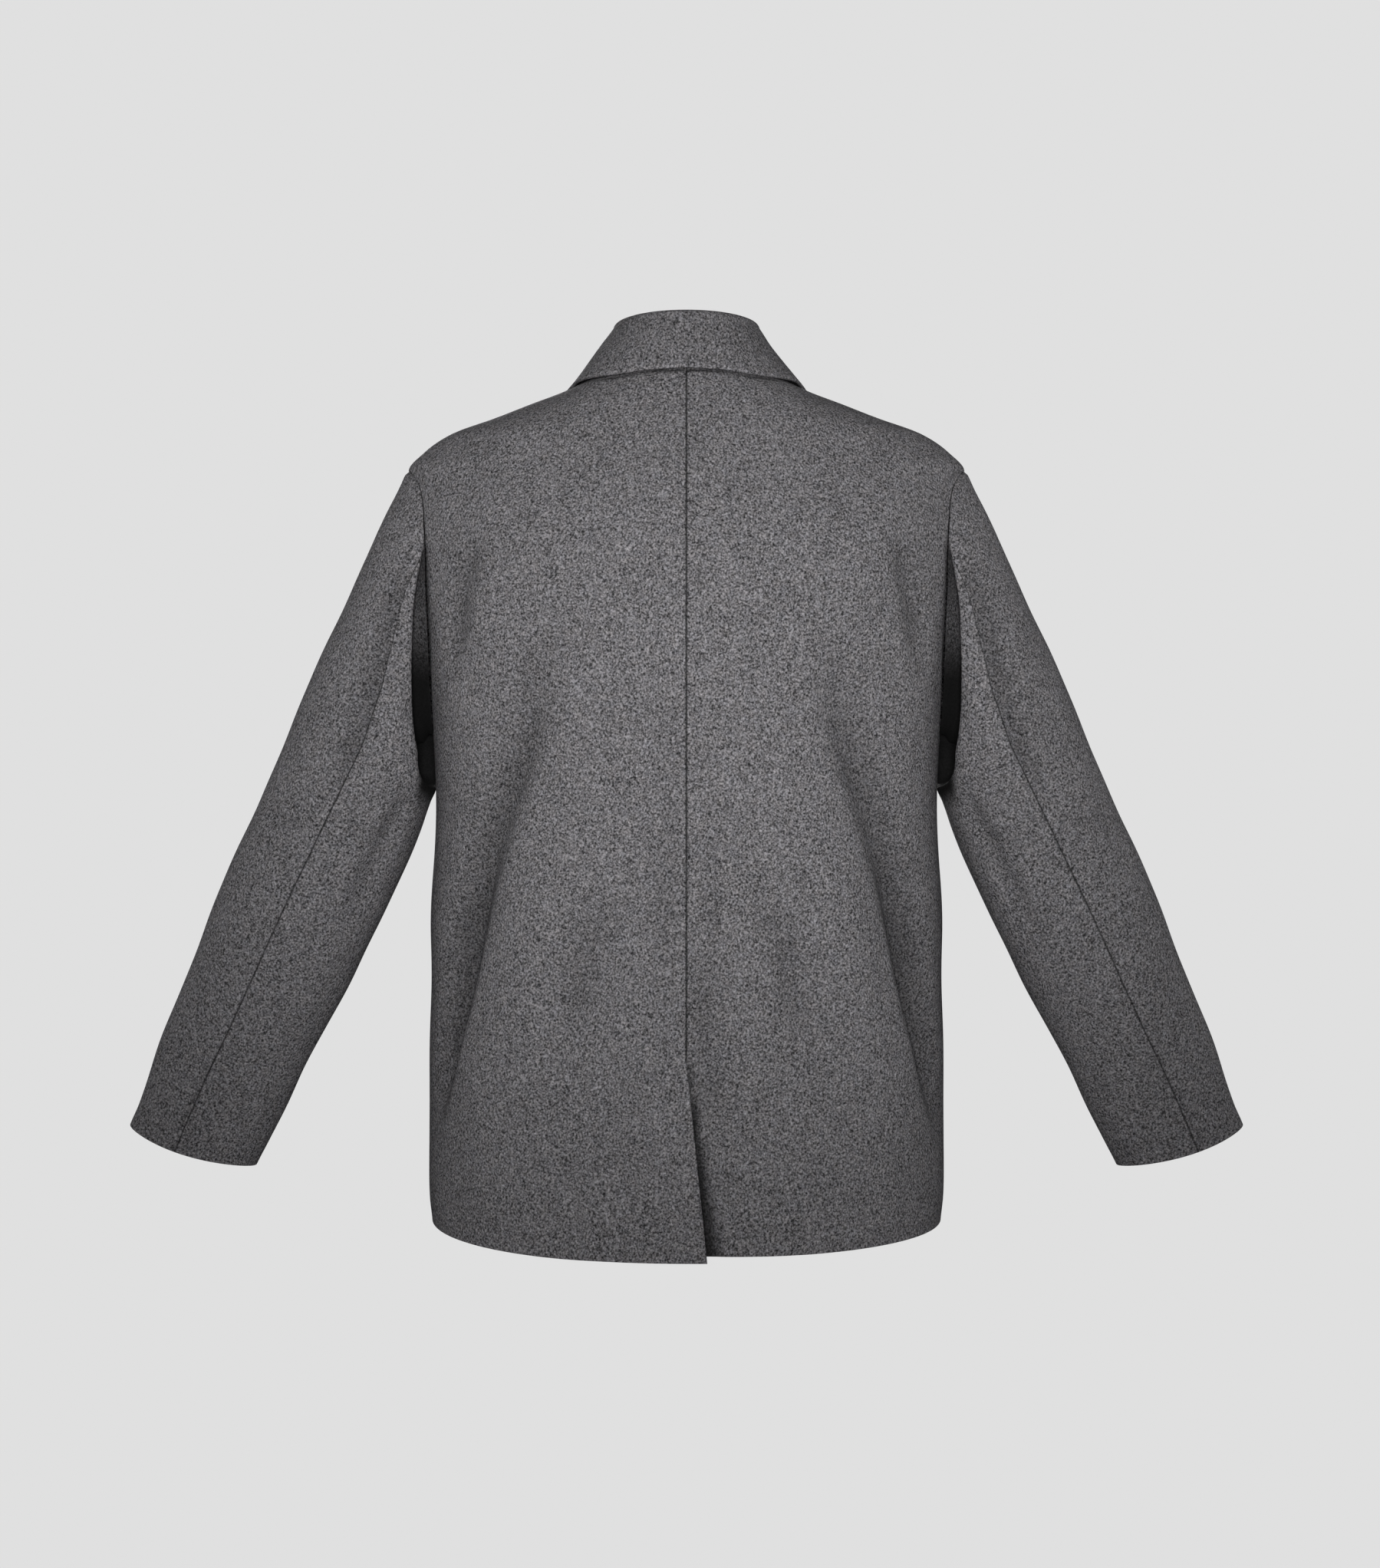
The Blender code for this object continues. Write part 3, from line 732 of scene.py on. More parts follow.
def shell(
    name: str, outer: Grid, inner: Grid, shade: Grid, material: bpy.types.Material, mirrored: bool
) -> bpy.types.Object:
    """A closed thin wall between an outer and an inner grid, with the shade painted into its cloth.

    Args:
        name: The piece's name.
        outer: Outer points, rows by columns by 3.
        inner: Inner points on the same grid.
        shade: Painted shade at each point, the share of light taken out of the cloth's colour;
            below 0 it is a painted highlight.
        material: The cloth.
        mirrored: True for the wearer's right side.

    Returns:
        The piece, linked to the scene.
    """
    if mirrored:
        outer, inner = outer * (-1, 1, 1), inner * (-1, 1, 1)
    rows, columns = outer.shape[:2]
    faces = wall_faces(rows, columns)
    middle = (slice(rows // 2, rows // 2 + 2), slice(columns // 2, columns // 2 + 2))
    corner = outer[middle]
    faced = np.cross(corner[0, 1] - corner[0, 0], corner[1, 0] - corner[0, 0])
    if np.dot(faced, (outer - inner)[middle][0, 0]) < 0:
        faces = faces[:, ::-1]
    mesh = bpy.data.meshes.new(name)
    mesh.vertices.add(2 * rows * columns)
    points = np.concatenate([outer.reshape(-1, 3), inner.reshape(-1, 3)])
    mesh.vertices.foreach_set("co", points.astype(np.float32).ravel())
    mesh.loops.add(faces.size)
    mesh.loops.foreach_set("vertex_index", faces.astype(np.int32).ravel())
    mesh.polygons.add(len(faces))
    mesh.polygons.foreach_set("loop_start", np.arange(0, faces.size, 4, dtype=np.int32))
    mesh.update(calc_edges=True)
    mesh.validate()
    # The painted shade goes to the material as the shade attribute.
    shades = mesh.attributes.new("shade", "FLOAT", "POINT")
    shades.data.foreach_set("value", np.concatenate([shade.ravel()] * 2).astype(np.float32))
    mesh.shade_smooth()
    mesh.set_sharp_from_angle(angle=SHARP_EDGE)
    mesh.materials.append(material)
    return add_object(name, mesh)


@dataclass(frozen=True)
class Cut:
    """The flat piece of cloth that a panel is sewn from."""

    width: float
    length: float
    area: float


def ride_as(piece: bpy.types.Object) -> None:
    """Makes a finished piece ride on the one body, and reports it.

    Args:
        piece: The finished piece.
    """
    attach(piece, BODY)
    LOG.info("%s: %d faces", piece.name, len(piece.data.polygons))


def dress_panel(piece: bpy.types.Object, node: str) -> None:
    """Hides the frame's node that the piece replaces, and makes the piece ride on the one body.

    Args:
        piece: The finished shell.
        node: The frame's node that it replaces.
    """
    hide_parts(node)
    ride_as(piece)


class Middle(Enum):
    """How a body panel ends at the middle of the garment."""

    VENT_OVER = "back that laps over at the vent"
    VENT_UNDER = "back that runs under at the vent"
    LAP_OVER = "front that laps over"
    LAP_UNDER = "front that runs under"


class Fold(NamedTuple):
    """One of the frame's own soft folds: heights, turns in degrees, half width and depth."""

    top: float
    middle: float
    bottom: float
    top_turn: float
    middle_turn: float
    bottom_turn: float
    half_turn: float
    depth: float


BACK_FOLDS = (
    Fold(-0.180, -0.440, -0.640, 64.0, 38.0, 10.0, 7.5, -0.0070),
    Fold(-0.240, -0.450, -0.660, 80.0, 57.0, 34.0, 9.0, 0.0055),
    Fold(-0.380, -0.500, -0.640, 72.0, 66.0, 60.0, 5.0, -0.0035),
)


def fold_relief(turn: Grid, height: Grid) -> Grid:
    """How far the frame's soft folds move the back: a bell across each, eased at its ends.

    Args:
        turn: Turns round the form, in radians.
        height: Heights from the neck.

    Returns:
        Distance outwards at each point.
    """
    moved = np.zeros(np.shape(turn))
    for fold in BACK_FOLDS:
        heights = (fold.bottom, fold.middle, fold.top)
        turns = np.radians([fold.bottom_turn, fold.middle_turn, fold.top_turn])
        line = smooth(heights, turns, height)
        across = bell(turn - line, np.radians(fold.half_turn))
        rise = ease((height - fold.bottom) / (fold.middle - fold.bottom))
        fall = ease((fold.top - height) / (fold.top - fold.middle))
        moved = moved + fold.depth * across * rise * fall
    return moved


@dataclass(frozen=True)
class BodyPanel:
    """One back or front: a four-sided patch on the form, with its vent or lap.

    Side is 1 for a back and -1 for a front. Every panel is worked out as a left one, and
    mirrored says that it belongs on the right.
    """

    name: str
    side: int
    hem_middle: float
    middle: Middle
    mirrored: bool
    creases: tuple[Crease, ...]
    cut: Cut
    cloth: float = 0.0020
    seam_gap: float = 0.0003
    hem_turn: float = 0.0350
    hem_extra: float = 0.0012

    # The frame's rows and columns, and the steps inside each
    columns: int = 12
    centre_columns: int = 3
    lap_columns: int = 2
    side_rows: int = 12
    armhole_rows: int = 12
    shoulder_rows: int = 6
    relax_passes: int = 12
    split: int = 7
    back_yoke_drop: float = 0.0200
    front_yoke_drop: float = 0.0500
    underarm_drop: float = 0.0100

    # The vent of the backs
    vent_top: float = -0.5390
    vent_drop: float = 0.1535
    vent_corner: float = 0.0200
    vent_lap: float = 0.0160
    vent_underlap: float = 0.0300
    vent_lift: float = 0.0025
    vent_sink: float = 0.0090
    vent_step: float = 0.0330
    vent_step_end: float = -0.5290
    vent_open: float = 0.0160
    vent_open_top: float = 0.0030
    vent_open_curve: float = 1.6
    vent_drop_in: float = 0.0060
    # Painted shadow in the vent's open strip: its darkness and how fast it comes in.
    vent_shadow_dark: float = 0.92
    vent_shadow_dark_rise: float = 40.0
    seam_line_fade: float = 0.006

    # The lap of the fronts
    front_lap: float = 0.0202
    lap_gap: float = 0.0008
    lap_fade: float = 0.0600
    lap_flat_over: float = 0.0100
    lap_flat_under: float = 0.0170

    # Painted shade on the back's edge, where it turns in beside the sleeve's hollow
    turned_in: float = 0.0064
    turned_in_dark: float = 0.62
    turned_in_black: float = 0.97
    turned_in_top: float = -0.120
    turned_in_low: float = -0.200
    turned_in_foot: float = -0.300
    turned_in_low_fade: float = 0.04
    turned_in_top_fade: float = 0.03
    turned_in_foot_fade: float = 0.06

    def outlines(self) -> tuple[Grid, Grid, Grid, Grid]:
        """The panel's four edges, on the frame's own rows and columns.

        Returns:
            Turns and heights along the hem, the neck, the middle, and the outer side, which is
            the side seam, the armhole and the shoulder seam.
        """
        side = self.side
        seam_turn = float(FORM.armhole(np.array(0.0), side)[0])
        neck_middle = FORM.neck_back if side > 0 else FORM.neck_front
        hem_turns = np.linspace(side * np.pi / 2, seam_turn, self.columns + 1)
        bottom = np.stack([hem_turns, FORM.hem_height(hem_turns, self.hem_middle)], axis=1)
        neck_angles = np.linspace(side * np.pi / 2, FORM.ridge_turn(), self.columns + 1)
        top = np.stack(FORM.neck(neck_angles), axis=1)
        seam_heights = np.linspace(bottom[-1, 1], FORM.armpit, self.side_rows + 1)
        seam = np.stack([np.full(self.side_rows + 1, seam_turn), seam_heights], axis=1)
        reach = np.linspace(0, 1, self.armhole_rows + 1)[1:]
        hole = np.stack(FORM.armhole(reach, side), axis=1)
        ridge_heights = np.linspace(FORM.shoulder_tip, top[-1, 1], self.shoulder_rows + 1)[1:]
        ridge = np.stack([np.full(self.shoulder_rows, FORM.ridge_turn()), ridge_heights], axis=1)
        outer = np.concatenate([seam, hole, ridge])
        yoke = FORM.shoulder_tip - (self.back_yoke_drop if side > 0 else self.front_yoke_drop)
        underarm = FORM.armpit - self.underarm_drop
        middle_heights = np.concatenate(
            [
                np.linspace(self.hem_middle, underarm, self.side_rows + 1),
                np.linspace(underarm, yoke, self.armhole_rows + 1)[1:],
                np.linspace(yoke, neck_middle, self.shoulder_rows + 1)[1:],
            ]
        )
        middle = np.stack([np.full(len(outer), side * np.pi / 2), middle_heights], axis=1)
        return bottom, top, middle, outer

    def coarse_patch(self) -> Grid:
        """Turns and heights on the frame's own rows and columns.

        The patch blends its four edges, then every inner place moves to the mean of its four
        neighbours a few times.

        Returns:
            Grid of rows by columns by 2.
        """
        bottom, top, middle, outer = self.outlines()
        u = np.linspace(0, 1, len(bottom))[None, :, None]
        span = middle[-1, 1] - middle[0, 1]
        v = ((middle[:, 1] - middle[0, 1]) / span)[:, None, None]
        sides = (1 - u) * middle[:, None] + u * outer[:, None]
        ends = (1 - v) * bottom[None] + v * top[None]
        low = (1 - u) * (1 - v) * bottom[0] + u * (1 - v) * bottom[-1]
        high = (1 - u) * v * top[0] + u * v * top[-1]
        patch = sides + ends - low - high
        for _ in range(self.relax_passes):
            across = patch[1:-1, :-2] + patch[1:-1, 2:]
            patch[1:-1, 1:-1] = (across + patch[:-2, 1:-1] + patch[2:, 1:-1]) / 4
        return patch

    def edge_x(self, height: Grid) -> Grid:
        """Where the panel's middle edge runs, as a distance past the middle.

        Args:
            height: Heights from the neck.

        Returns:
            Distances, below 0 where the panel laps past the middle.
        """
        down = (self.vent_top - height) / self.vent_drop
        half_gap = self.seam_gap / 2
        match self.middle:
            case Middle.VENT_OVER:
                return np.where(down > 0, -self.vent_lap * np.clip(down, 0, 1), half_gap)
            case Middle.VENT_UNDER:
                share = np.clip((self.vent_top - height) / self.vent_corner, 0, 1)
                return half_gap - (self.vent_underlap + half_gap) * share
            case _:
                return np.full(height.shape, -self.front_lap)

    def lap_relief(self, x: Grid, height: Grid) -> Grid:
        """How far the vent or lap stands off or lies in, fading away from the middle.

        Args:
            x: Distances past the middle.
            height: Heights from the neck.

        Returns:
            Distance outwards at each point.
        """
        down = np.clip((self.vent_top - height) / self.vent_drop, 0, 1)
        lap_sink = self.cloth + self.lap_gap
        match self.middle:
            case Middle.VENT_OVER:
                flat = 1 - ease((x - self.lap_flat_over) / self.lap_fade)
                return self.vent_lift * ease(down) * flat
            case Middle.VENT_UNDER:
                start = ease((self.vent_step_end - height) / self.vent_step + 1)
                deep = lap_sink * start + (self.vent_sink - lap_sink) * down
                deep = deep * (1 - ease((x - self.lap_flat_under) / self.lap_fade))
                return -deep - self.vent_drop_in * down * self.beside_vent(x, down)
            case Middle.LAP_UNDER:
                return -lap_sink * (1 - ease((x - self.front_lap) / self.lap_fade))
            case _:
                return np.zeros(np.shape(x))

    def beside_vent(self, x: Grid, down: Grid) -> Grid:
        """1 under the lapping back and at its edge, fading to 0 over the vent's open strip."""
        strip = self.vent_open * down + self.vent_open_top
        return 1 - ease((x - self.vent_lap * down) / strip) ** self.vent_open_curve

    def painted_vent_shadow(self, x: Grid, height: Grid) -> Grid:
        """Painted shadow of the lapping back on the under back, in the open strip, which widens to
        the hem.

        Args:
            x: Distances past the middle.
            height: Heights from the neck.

        Returns:
            Share of light lost at each point.
        """
        if self.middle is not Middle.VENT_UNDER:
            return np.zeros(np.shape(x))
        down = np.clip((self.vent_top - height) / self.vent_drop, 0, 1)
        return self.vent_shadow_dark * self.beside_vent(x, down) * ease(down * self.vent_shadow_dark_rise)

    def painted_turned_in_shade(self, to_end: Grid, height: Grid) -> Grid:
        """Painted shade on the back where it turns in beside the sleeve's hollow.

        Args:
            to_end: Distances from the armhole and side seam.
            height: Heights from the neck.

        Returns:
            Painted shade, as a share of light lost: soft at the top of the hollow, sharper and
                stronger below.
        """
        if self.side < 0:
            return np.zeros(np.shape(height))
        lower = ease((self.turned_in_low - height) / self.turned_in_low_fade)
        dark = self.turned_in_dark + (self.turned_in_black - self.turned_in_dark) * lower
        within = ease((self.turned_in_top - height) / self.turned_in_top_fade)
        within = within * ease((height - self.turned_in_foot) / self.turned_in_foot_fade)
        q = (to_end / self.turned_in) ** 2
        return dark * within * np.exp(-(q ** (1 + lower)))

    def fine_places(self) -> tuple[Grid, Grid, Grid]:
        """Turns and heights on a fine grid, moved onto the vent's or lap's edge.

        Returns:
            Turns, heights, and distances past the middle.
        """
        rows = self.side_rows + self.armhole_rows + self.shoulder_rows
        laps = self.lap_columns if self.side < 0 else 0
        rows_at = places(rows, self.split)
        columns_at = places(self.columns, self.split, -laps)
        corners = (self.side_rows, self.side_rows + self.armhole_rows)
        by_row = spline_weights(rows + 1, rows_at, corners)
        by_column = spline_weights(self.columns + 1, np.maximum(columns_at, 0))
        patch = np.einsum("ri,ijk,cj->rck", by_row, self.coarse_patch(), by_column)
        on_hole = (rows_at > corners[0]) & (rows_at < corners[1])
        reach = (rows_at[on_hole] - corners[0]) / self.armhole_rows
        exact = np.stack(FORM.armhole(reach, self.side), axis=1)
        off = (exact - patch[on_hole, -1])[:, None]
        patch[on_hole] += off * ease((columns_at - self.columns) / 2 + 1)[None, :, None]
        turn, height = patch[..., 0].copy(), patch[..., 1].copy()
        x = FORM.point(turn, height)[..., 0]
        near = columns_at <= self.centre_columns
        last = np.flatnonzero(near)[-1]
        across = np.sin(columns_at[near] * np.pi / 2 / self.columns)
        share = (across - across[0]) / (across[-1] - across[0])
        first = self.edge_x(height[:, 0])[:, None]
        x[:, near] = first + (x[:, last, None] - first) * share
        neck_angle = self.side * np.arccos(np.clip(x[-1, near] / FORM.neck_half_width, -1, 1))
        up = ((height[:, 0] - height[0, 0]) / (height[-1, 0] - height[0, 0]))[:, None]
        height[:, near] += (FORM.neck_height(neck_angle) - height[-1, near]) * up
        turn[:, near] = FORM.turn_at_width(x[:, near], height[:, near], self.side)
        return turn, height, x

    def build(self, cloth: bpy.types.Material) -> bpy.types.Object:
        """Makes the panel's shell and hides the frame's node that it replaces.

        Args:
            cloth: The wool.

        Returns:
            The finished piece.
        """
        turn, height, x = self.fine_places()
        base, out = FORM.point(turn, height), FORM.normal(turn, height)
        from_start, from_foot = run_lengths(base, 1), run_lengths(base, 0)
        to_end, to_top = from_start[:, -1:] - from_start, from_foot[-1:] - from_foot
        creased, crease_shade = crease_relief(base, out, self.creases, FORM)
        relief = self.lap_relief(x, height) + creased
        if self.side > 0:
            relief = relief + fold_relief(turn, height)
        nearest = np.minimum(np.minimum(to_end, to_top), from_foot)
        relief = relief + hand_waves(base) * ease(nearest / WAVE_FADE)
        sewn = 1.0
        if self.side > 0:
            sewn = ease((height[:, :1] - self.vent_top) / self.vent_corner)
        start = Edge.FOLDED if self.side < 0 else Edge.SEAM
        edges = (
            (from_start, start, sewn),
            (from_start, Edge.FOLDED, 1.0 - sewn),
            (to_end, Edge.SEAM, 1.0),
            (to_top, Edge.SEAM, 1.0),
            (from_foot, Edge.FOLDED, 1.0),
        )
        sink_outer, sink_inner = edge_sinks(base, edges, self.cloth)
        thick = hemmed_thickness(self.cloth, self.hem_extra, self.hem_turn, from_foot)
        outer = base + out * (relief - sink_outer)[..., None]
        inner = base + out * (relief - thick + sink_inner)[..., None]
        for grid in (outer, inner):
            grid[:, -1] += unit(base[:, -1] - base[:, -3]) * SEAM_OVERLAP
            grid[-1] += unit(base[-1] - base[-3]) * SEAM_OVERLAP
            if self.side > 0:
                grid[:, 0] += unit(base[:, 0] - base[:, 2]) * SEAM_OVERLAP * sewn
        above_vent = ease((height[:, :1] - self.vent_top) / self.seam_line_fade + 1)
        # Painted shade: the seam lines, the back's turned-in edge, the vent's shadow and the
        # creases.
        shades = (
            seam_shade(to_end, to_top),
            seam_shade(from_start) * above_vent * (self.side > 0),
            self.painted_turned_in_shade(to_end, height),
            self.painted_vent_shadow(x, height),
        )
        shade = both_shades(np.maximum.reduce(shades), crease_shade)
        piece = shell(self.name + "_cloth", outer, inner, shade, cloth, self.mirrored)
        dress_panel(piece, self.name)
        return piece


MOST_ROUNDS = 30


@dataclass(frozen=True)
class Hollow:
    """The deep hollow beside the body, where the sleeve's back folds in towards its armhole.

    Its outer lip is a line of distances below the sleeve's top and angles round the sleeve, in
    degrees. The dark sizes say where it loses its light.
    """

    lip_below: tuple[float, ...] = (0.0, 0.024, 0.043, 0.072, 0.112, 0.143, 0.169, 0.200, 0.240)
    lip_angle: tuple[float, ...] = (67.5, 87.0, 106.5, 125.5, 141.0, 149.0, 149.0, 148.5, 160.0)
    far_angle: float = 188.0
    steep: float = 4.5
    deepest: float = 0.036
    soft: float = 0.0060
    lip_round: float = 0.0034
    fade_from: float = 0.135
    fade_length: float = 0.050

    # Where shade is painted into its cloth
    dark_top: float = 0.41
    dark_foot: float = 0.985
    dark_height: float = -0.188
    dark_drop: float = 0.060
    dark_before: float = 0.0100
    dark_reach: float = 0.0130
    dark_rim: float = 0.36
    dark_rim_reach: float = 0.007
    dark_far: float = 188.0
    dark_fade: float = 16.0
    dark_from: float = 0.190
    dark_length: float = 0.050

    def depth(self, angle: Grid, below: Grid, from_rim: Grid) -> Grid:
        """How far the cloth goes in: steeply from the lip, the rim and the far side, then level.

        The lip is rounded, as round * log(1 + e^(distance/round)).

        Args:
            angle: Angles round the sleeve, in radians.
            below: Distances below the sleeve's top.
            from_rim: Distances from the armhole seam.

        Returns:
            Distance inwards at each point.
        """
        from_lip, reach = self.from_lip(angle, below)
        from_far = (np.radians(self.far_angle) - angle) * reach
        rounds = np.clip(from_lip / self.lip_round, -MOST_ROUNDS, MOST_ROUNDS)
        past_lip = self.lip_round * np.log1p(np.exp(rounds))
        inside = np.minimum(from_far, from_rim)
        inside = (inside + np.sqrt(inside**2 + self.soft**2)) / 2 - self.soft / 2
        inside = np.minimum(past_lip, np.maximum(inside, 0))
        depth = self.deepest * np.tanh(self.steep * inside / self.deepest)
        return depth * (1 - ease((below - self.fade_from) / self.fade_length))

    def from_lip(self, angle: Grid, below: Grid) -> tuple[Grid, Grid]:
        """Distance round the sleeve past the lip, and the sleeve's radius there.

        Args:
            angle: Angles round the sleeve, in radians.
            below: Distances below the sleeve's top.

        Returns:
            Distances, below 0 before the lip, and radii.
        """
        lip = np.radians(smooth(self.lip_below, self.lip_angle, below))
        near = 0.04
        ahead, behind = SLEEVE.point(angle + near, below), SLEEVE.point(angle - near, below)
        reach = np.linalg.norm(ahead - behind, axis=-1) / (2 * near)
        return (angle - lip) * reach, reach

    def shade(self, angle: Grid, below: Grid, from_rim: Grid) -> Grid:
        """Painted shade in the hollow, where little light comes back out.

        Args:
            angle: Angles round the sleeve, in radians.
            below: Distances below the sleeve's top.
            from_rim: Distances from the armhole seam.

        Returns:
            Share of light taken out of the cloth's colour as painted shade, most at the foot of the
            hollow.
        """
        from_lip, _ = self.from_lip(angle, below)
        past = ease((np.degrees(angle) - self.dark_far) / self.dark_fade)
        height = SLEEVE.point(angle, below)[..., 2]
        lower = ease((self.dark_height - height) / self.dark_drop)
        dark = self.dark_top + (self.dark_foot - self.dark_top) * lower
        dark = both_shades(dark, self.dark_rim * bell(from_rim, self.dark_rim_reach))
        end = 1 - ease((below - self.dark_from) / self.dark_length)
        return dark * ease((from_lip + self.dark_before) / self.dark_reach) * (1 - past) * end


HOLLOW = Hollow()


@dataclass(frozen=True)
class SleevePanel:
    """A top or under sleeve, between its two seams."""

    name: str
    from_seam: str
    to_seam: str
    creases: tuple[Crease, ...]
    cut: Cut
    cloth: float = 0.0020
    rows: int = 15
    columns: int = 12
    row_split: int = 11
    row_crowd: float = 0.7
    column_split: int = 7
    cap_rows_share: float = 0.25
    cap_rows_length: float = 0.085
    cuff_turn: float = 0.030
    cuff_extra: float = 0.0012
    head_lift: float = 0.0012
    head_start: float = 0.004
    head_reach: float = 0.014

    def places(self) -> tuple[Grid, Grid]:
        """Angles round the sleeve and distances below its top, on a fine grid.

        Returns:
            Angles and distances, rows by columns.
        """
        known = column(SLEEVE.rings, "below")
        rows_at = places(self.rows, self.row_split, scale=self.row_crowd) / self.rows
        below = smooth([0, self.cap_rows_share, 1], [0, self.cap_rows_length, known[-1]], rows_at)
        start = np.radians(smooth(known, column(SLEEVE.rings, self.from_seam), below))
        end = np.radians(smooth(known, column(SLEEVE.rings, self.to_seam), below))
        if self.from_seam == "seam_front":
            start = start - 2 * np.pi
        share = places(self.columns, self.column_split) / self.columns
        angle = start[:, None] + (end - start)[:, None] * share
        return angle, below[:, None] * (1 - SLEEVE.cuff_dip * np.cos(angle) ** 2)

    def outward(self, angle: Grid, down: Grid) -> tuple[Grid, Grid]:
        """Directions out of the sleeve and round it, from the points close by.

        Args:
            angle: Angles round the sleeve, in radians.
            down: Distances below the sleeve's top.

        Returns:
            Both unit directions at each point.
        """
        near_angle, near_down = 0.04, 0.003
        longest = SLEEVE.rings[-1].below
        around = SLEEVE.point(angle + near_angle, down) - SLEEVE.point(angle - near_angle, down)
        further = SLEEVE.point(angle, np.minimum(down + near_down, longest))
        along = further - SLEEVE.point(angle, np.maximum(down - near_down, 0))
        return unit(np.cross(along, around)), unit(around)

    def build(self, mirrored: bool, cloth: bpy.types.Material) -> bpy.types.Object:
        """Makes the shell of one sleeve panel and hides the frame's node that it replaces.

        Args:
            mirrored: True for the wearer's right side.
            cloth: The wool.

        Returns:
            The finished piece.
        """
        angle, down = self.places()
        base = SLEEVE.point(angle, down)
        out, around = self.outward(angle, down)
        from_start, from_top = run_lengths(base, 1), run_lengths(base, 0)
        to_end, to_cuff = from_start[:, -1:] - from_start, from_top[-1:] - from_top
        nearest = np.minimum(from_top, to_cuff)
        relief, crease_shade = crease_relief(base, out, self.creases, SLEEVE)
        relief = relief + hand_waves(base) * ease(nearest / WAVE_FADE)
        relief = relief - HOLLOW.depth(angle, down, from_top)
        head = np.clip(np.cos(angle[:1]), 0, 1) * ease(from_top / self.head_start)
        relief = relief + self.head_lift * head * bell(from_top, self.head_reach)
        edges = (
            (from_start, Edge.SEAM, 1.0),
            (to_end, Edge.SEAM, 1.0),
            (from_top, Edge.SEAM, 1.0),
            (to_cuff, Edge.FOLDED, 1.0),
        )
        sink_outer, sink_inner = edge_sinks(base, edges, self.cloth)
        thick = hemmed_thickness(self.cloth, self.cuff_extra, self.cuff_turn, to_cuff)
        base[:, 0] -= around[:, 0] * SEAM_OVERLAP
        base[:, -1] += around[:, -1] * SEAM_OVERLAP
        base[0] += unit(base[0] - base[2]) * SEAM_OVERLAP
        outer = base + out * (relief - sink_outer)[..., None]
        inner = base + out * (relief - thick + sink_inner)[..., None]
        # Painted shade: the seam lines, the sleeve's hollow and the creases.
        seams = seam_shade(from_start, to_end, from_top)
        shade = both_shades(np.maximum(seams, HOLLOW.shade(angle, down, from_top)), crease_shade)
        side = "right" if mirrored else "left"
        piece = shell(f"{self.name}_{side}_cloth", outer, inner, shade, cloth, mirrored)
        dress_panel(piece, f"{self.name}_{side}")
        return piece


class CollarEdge(NamedTuple):
    """One place on the fall's edge: share round the collar, turn in degrees, and height."""

    around: float
    turn: float
    height: float


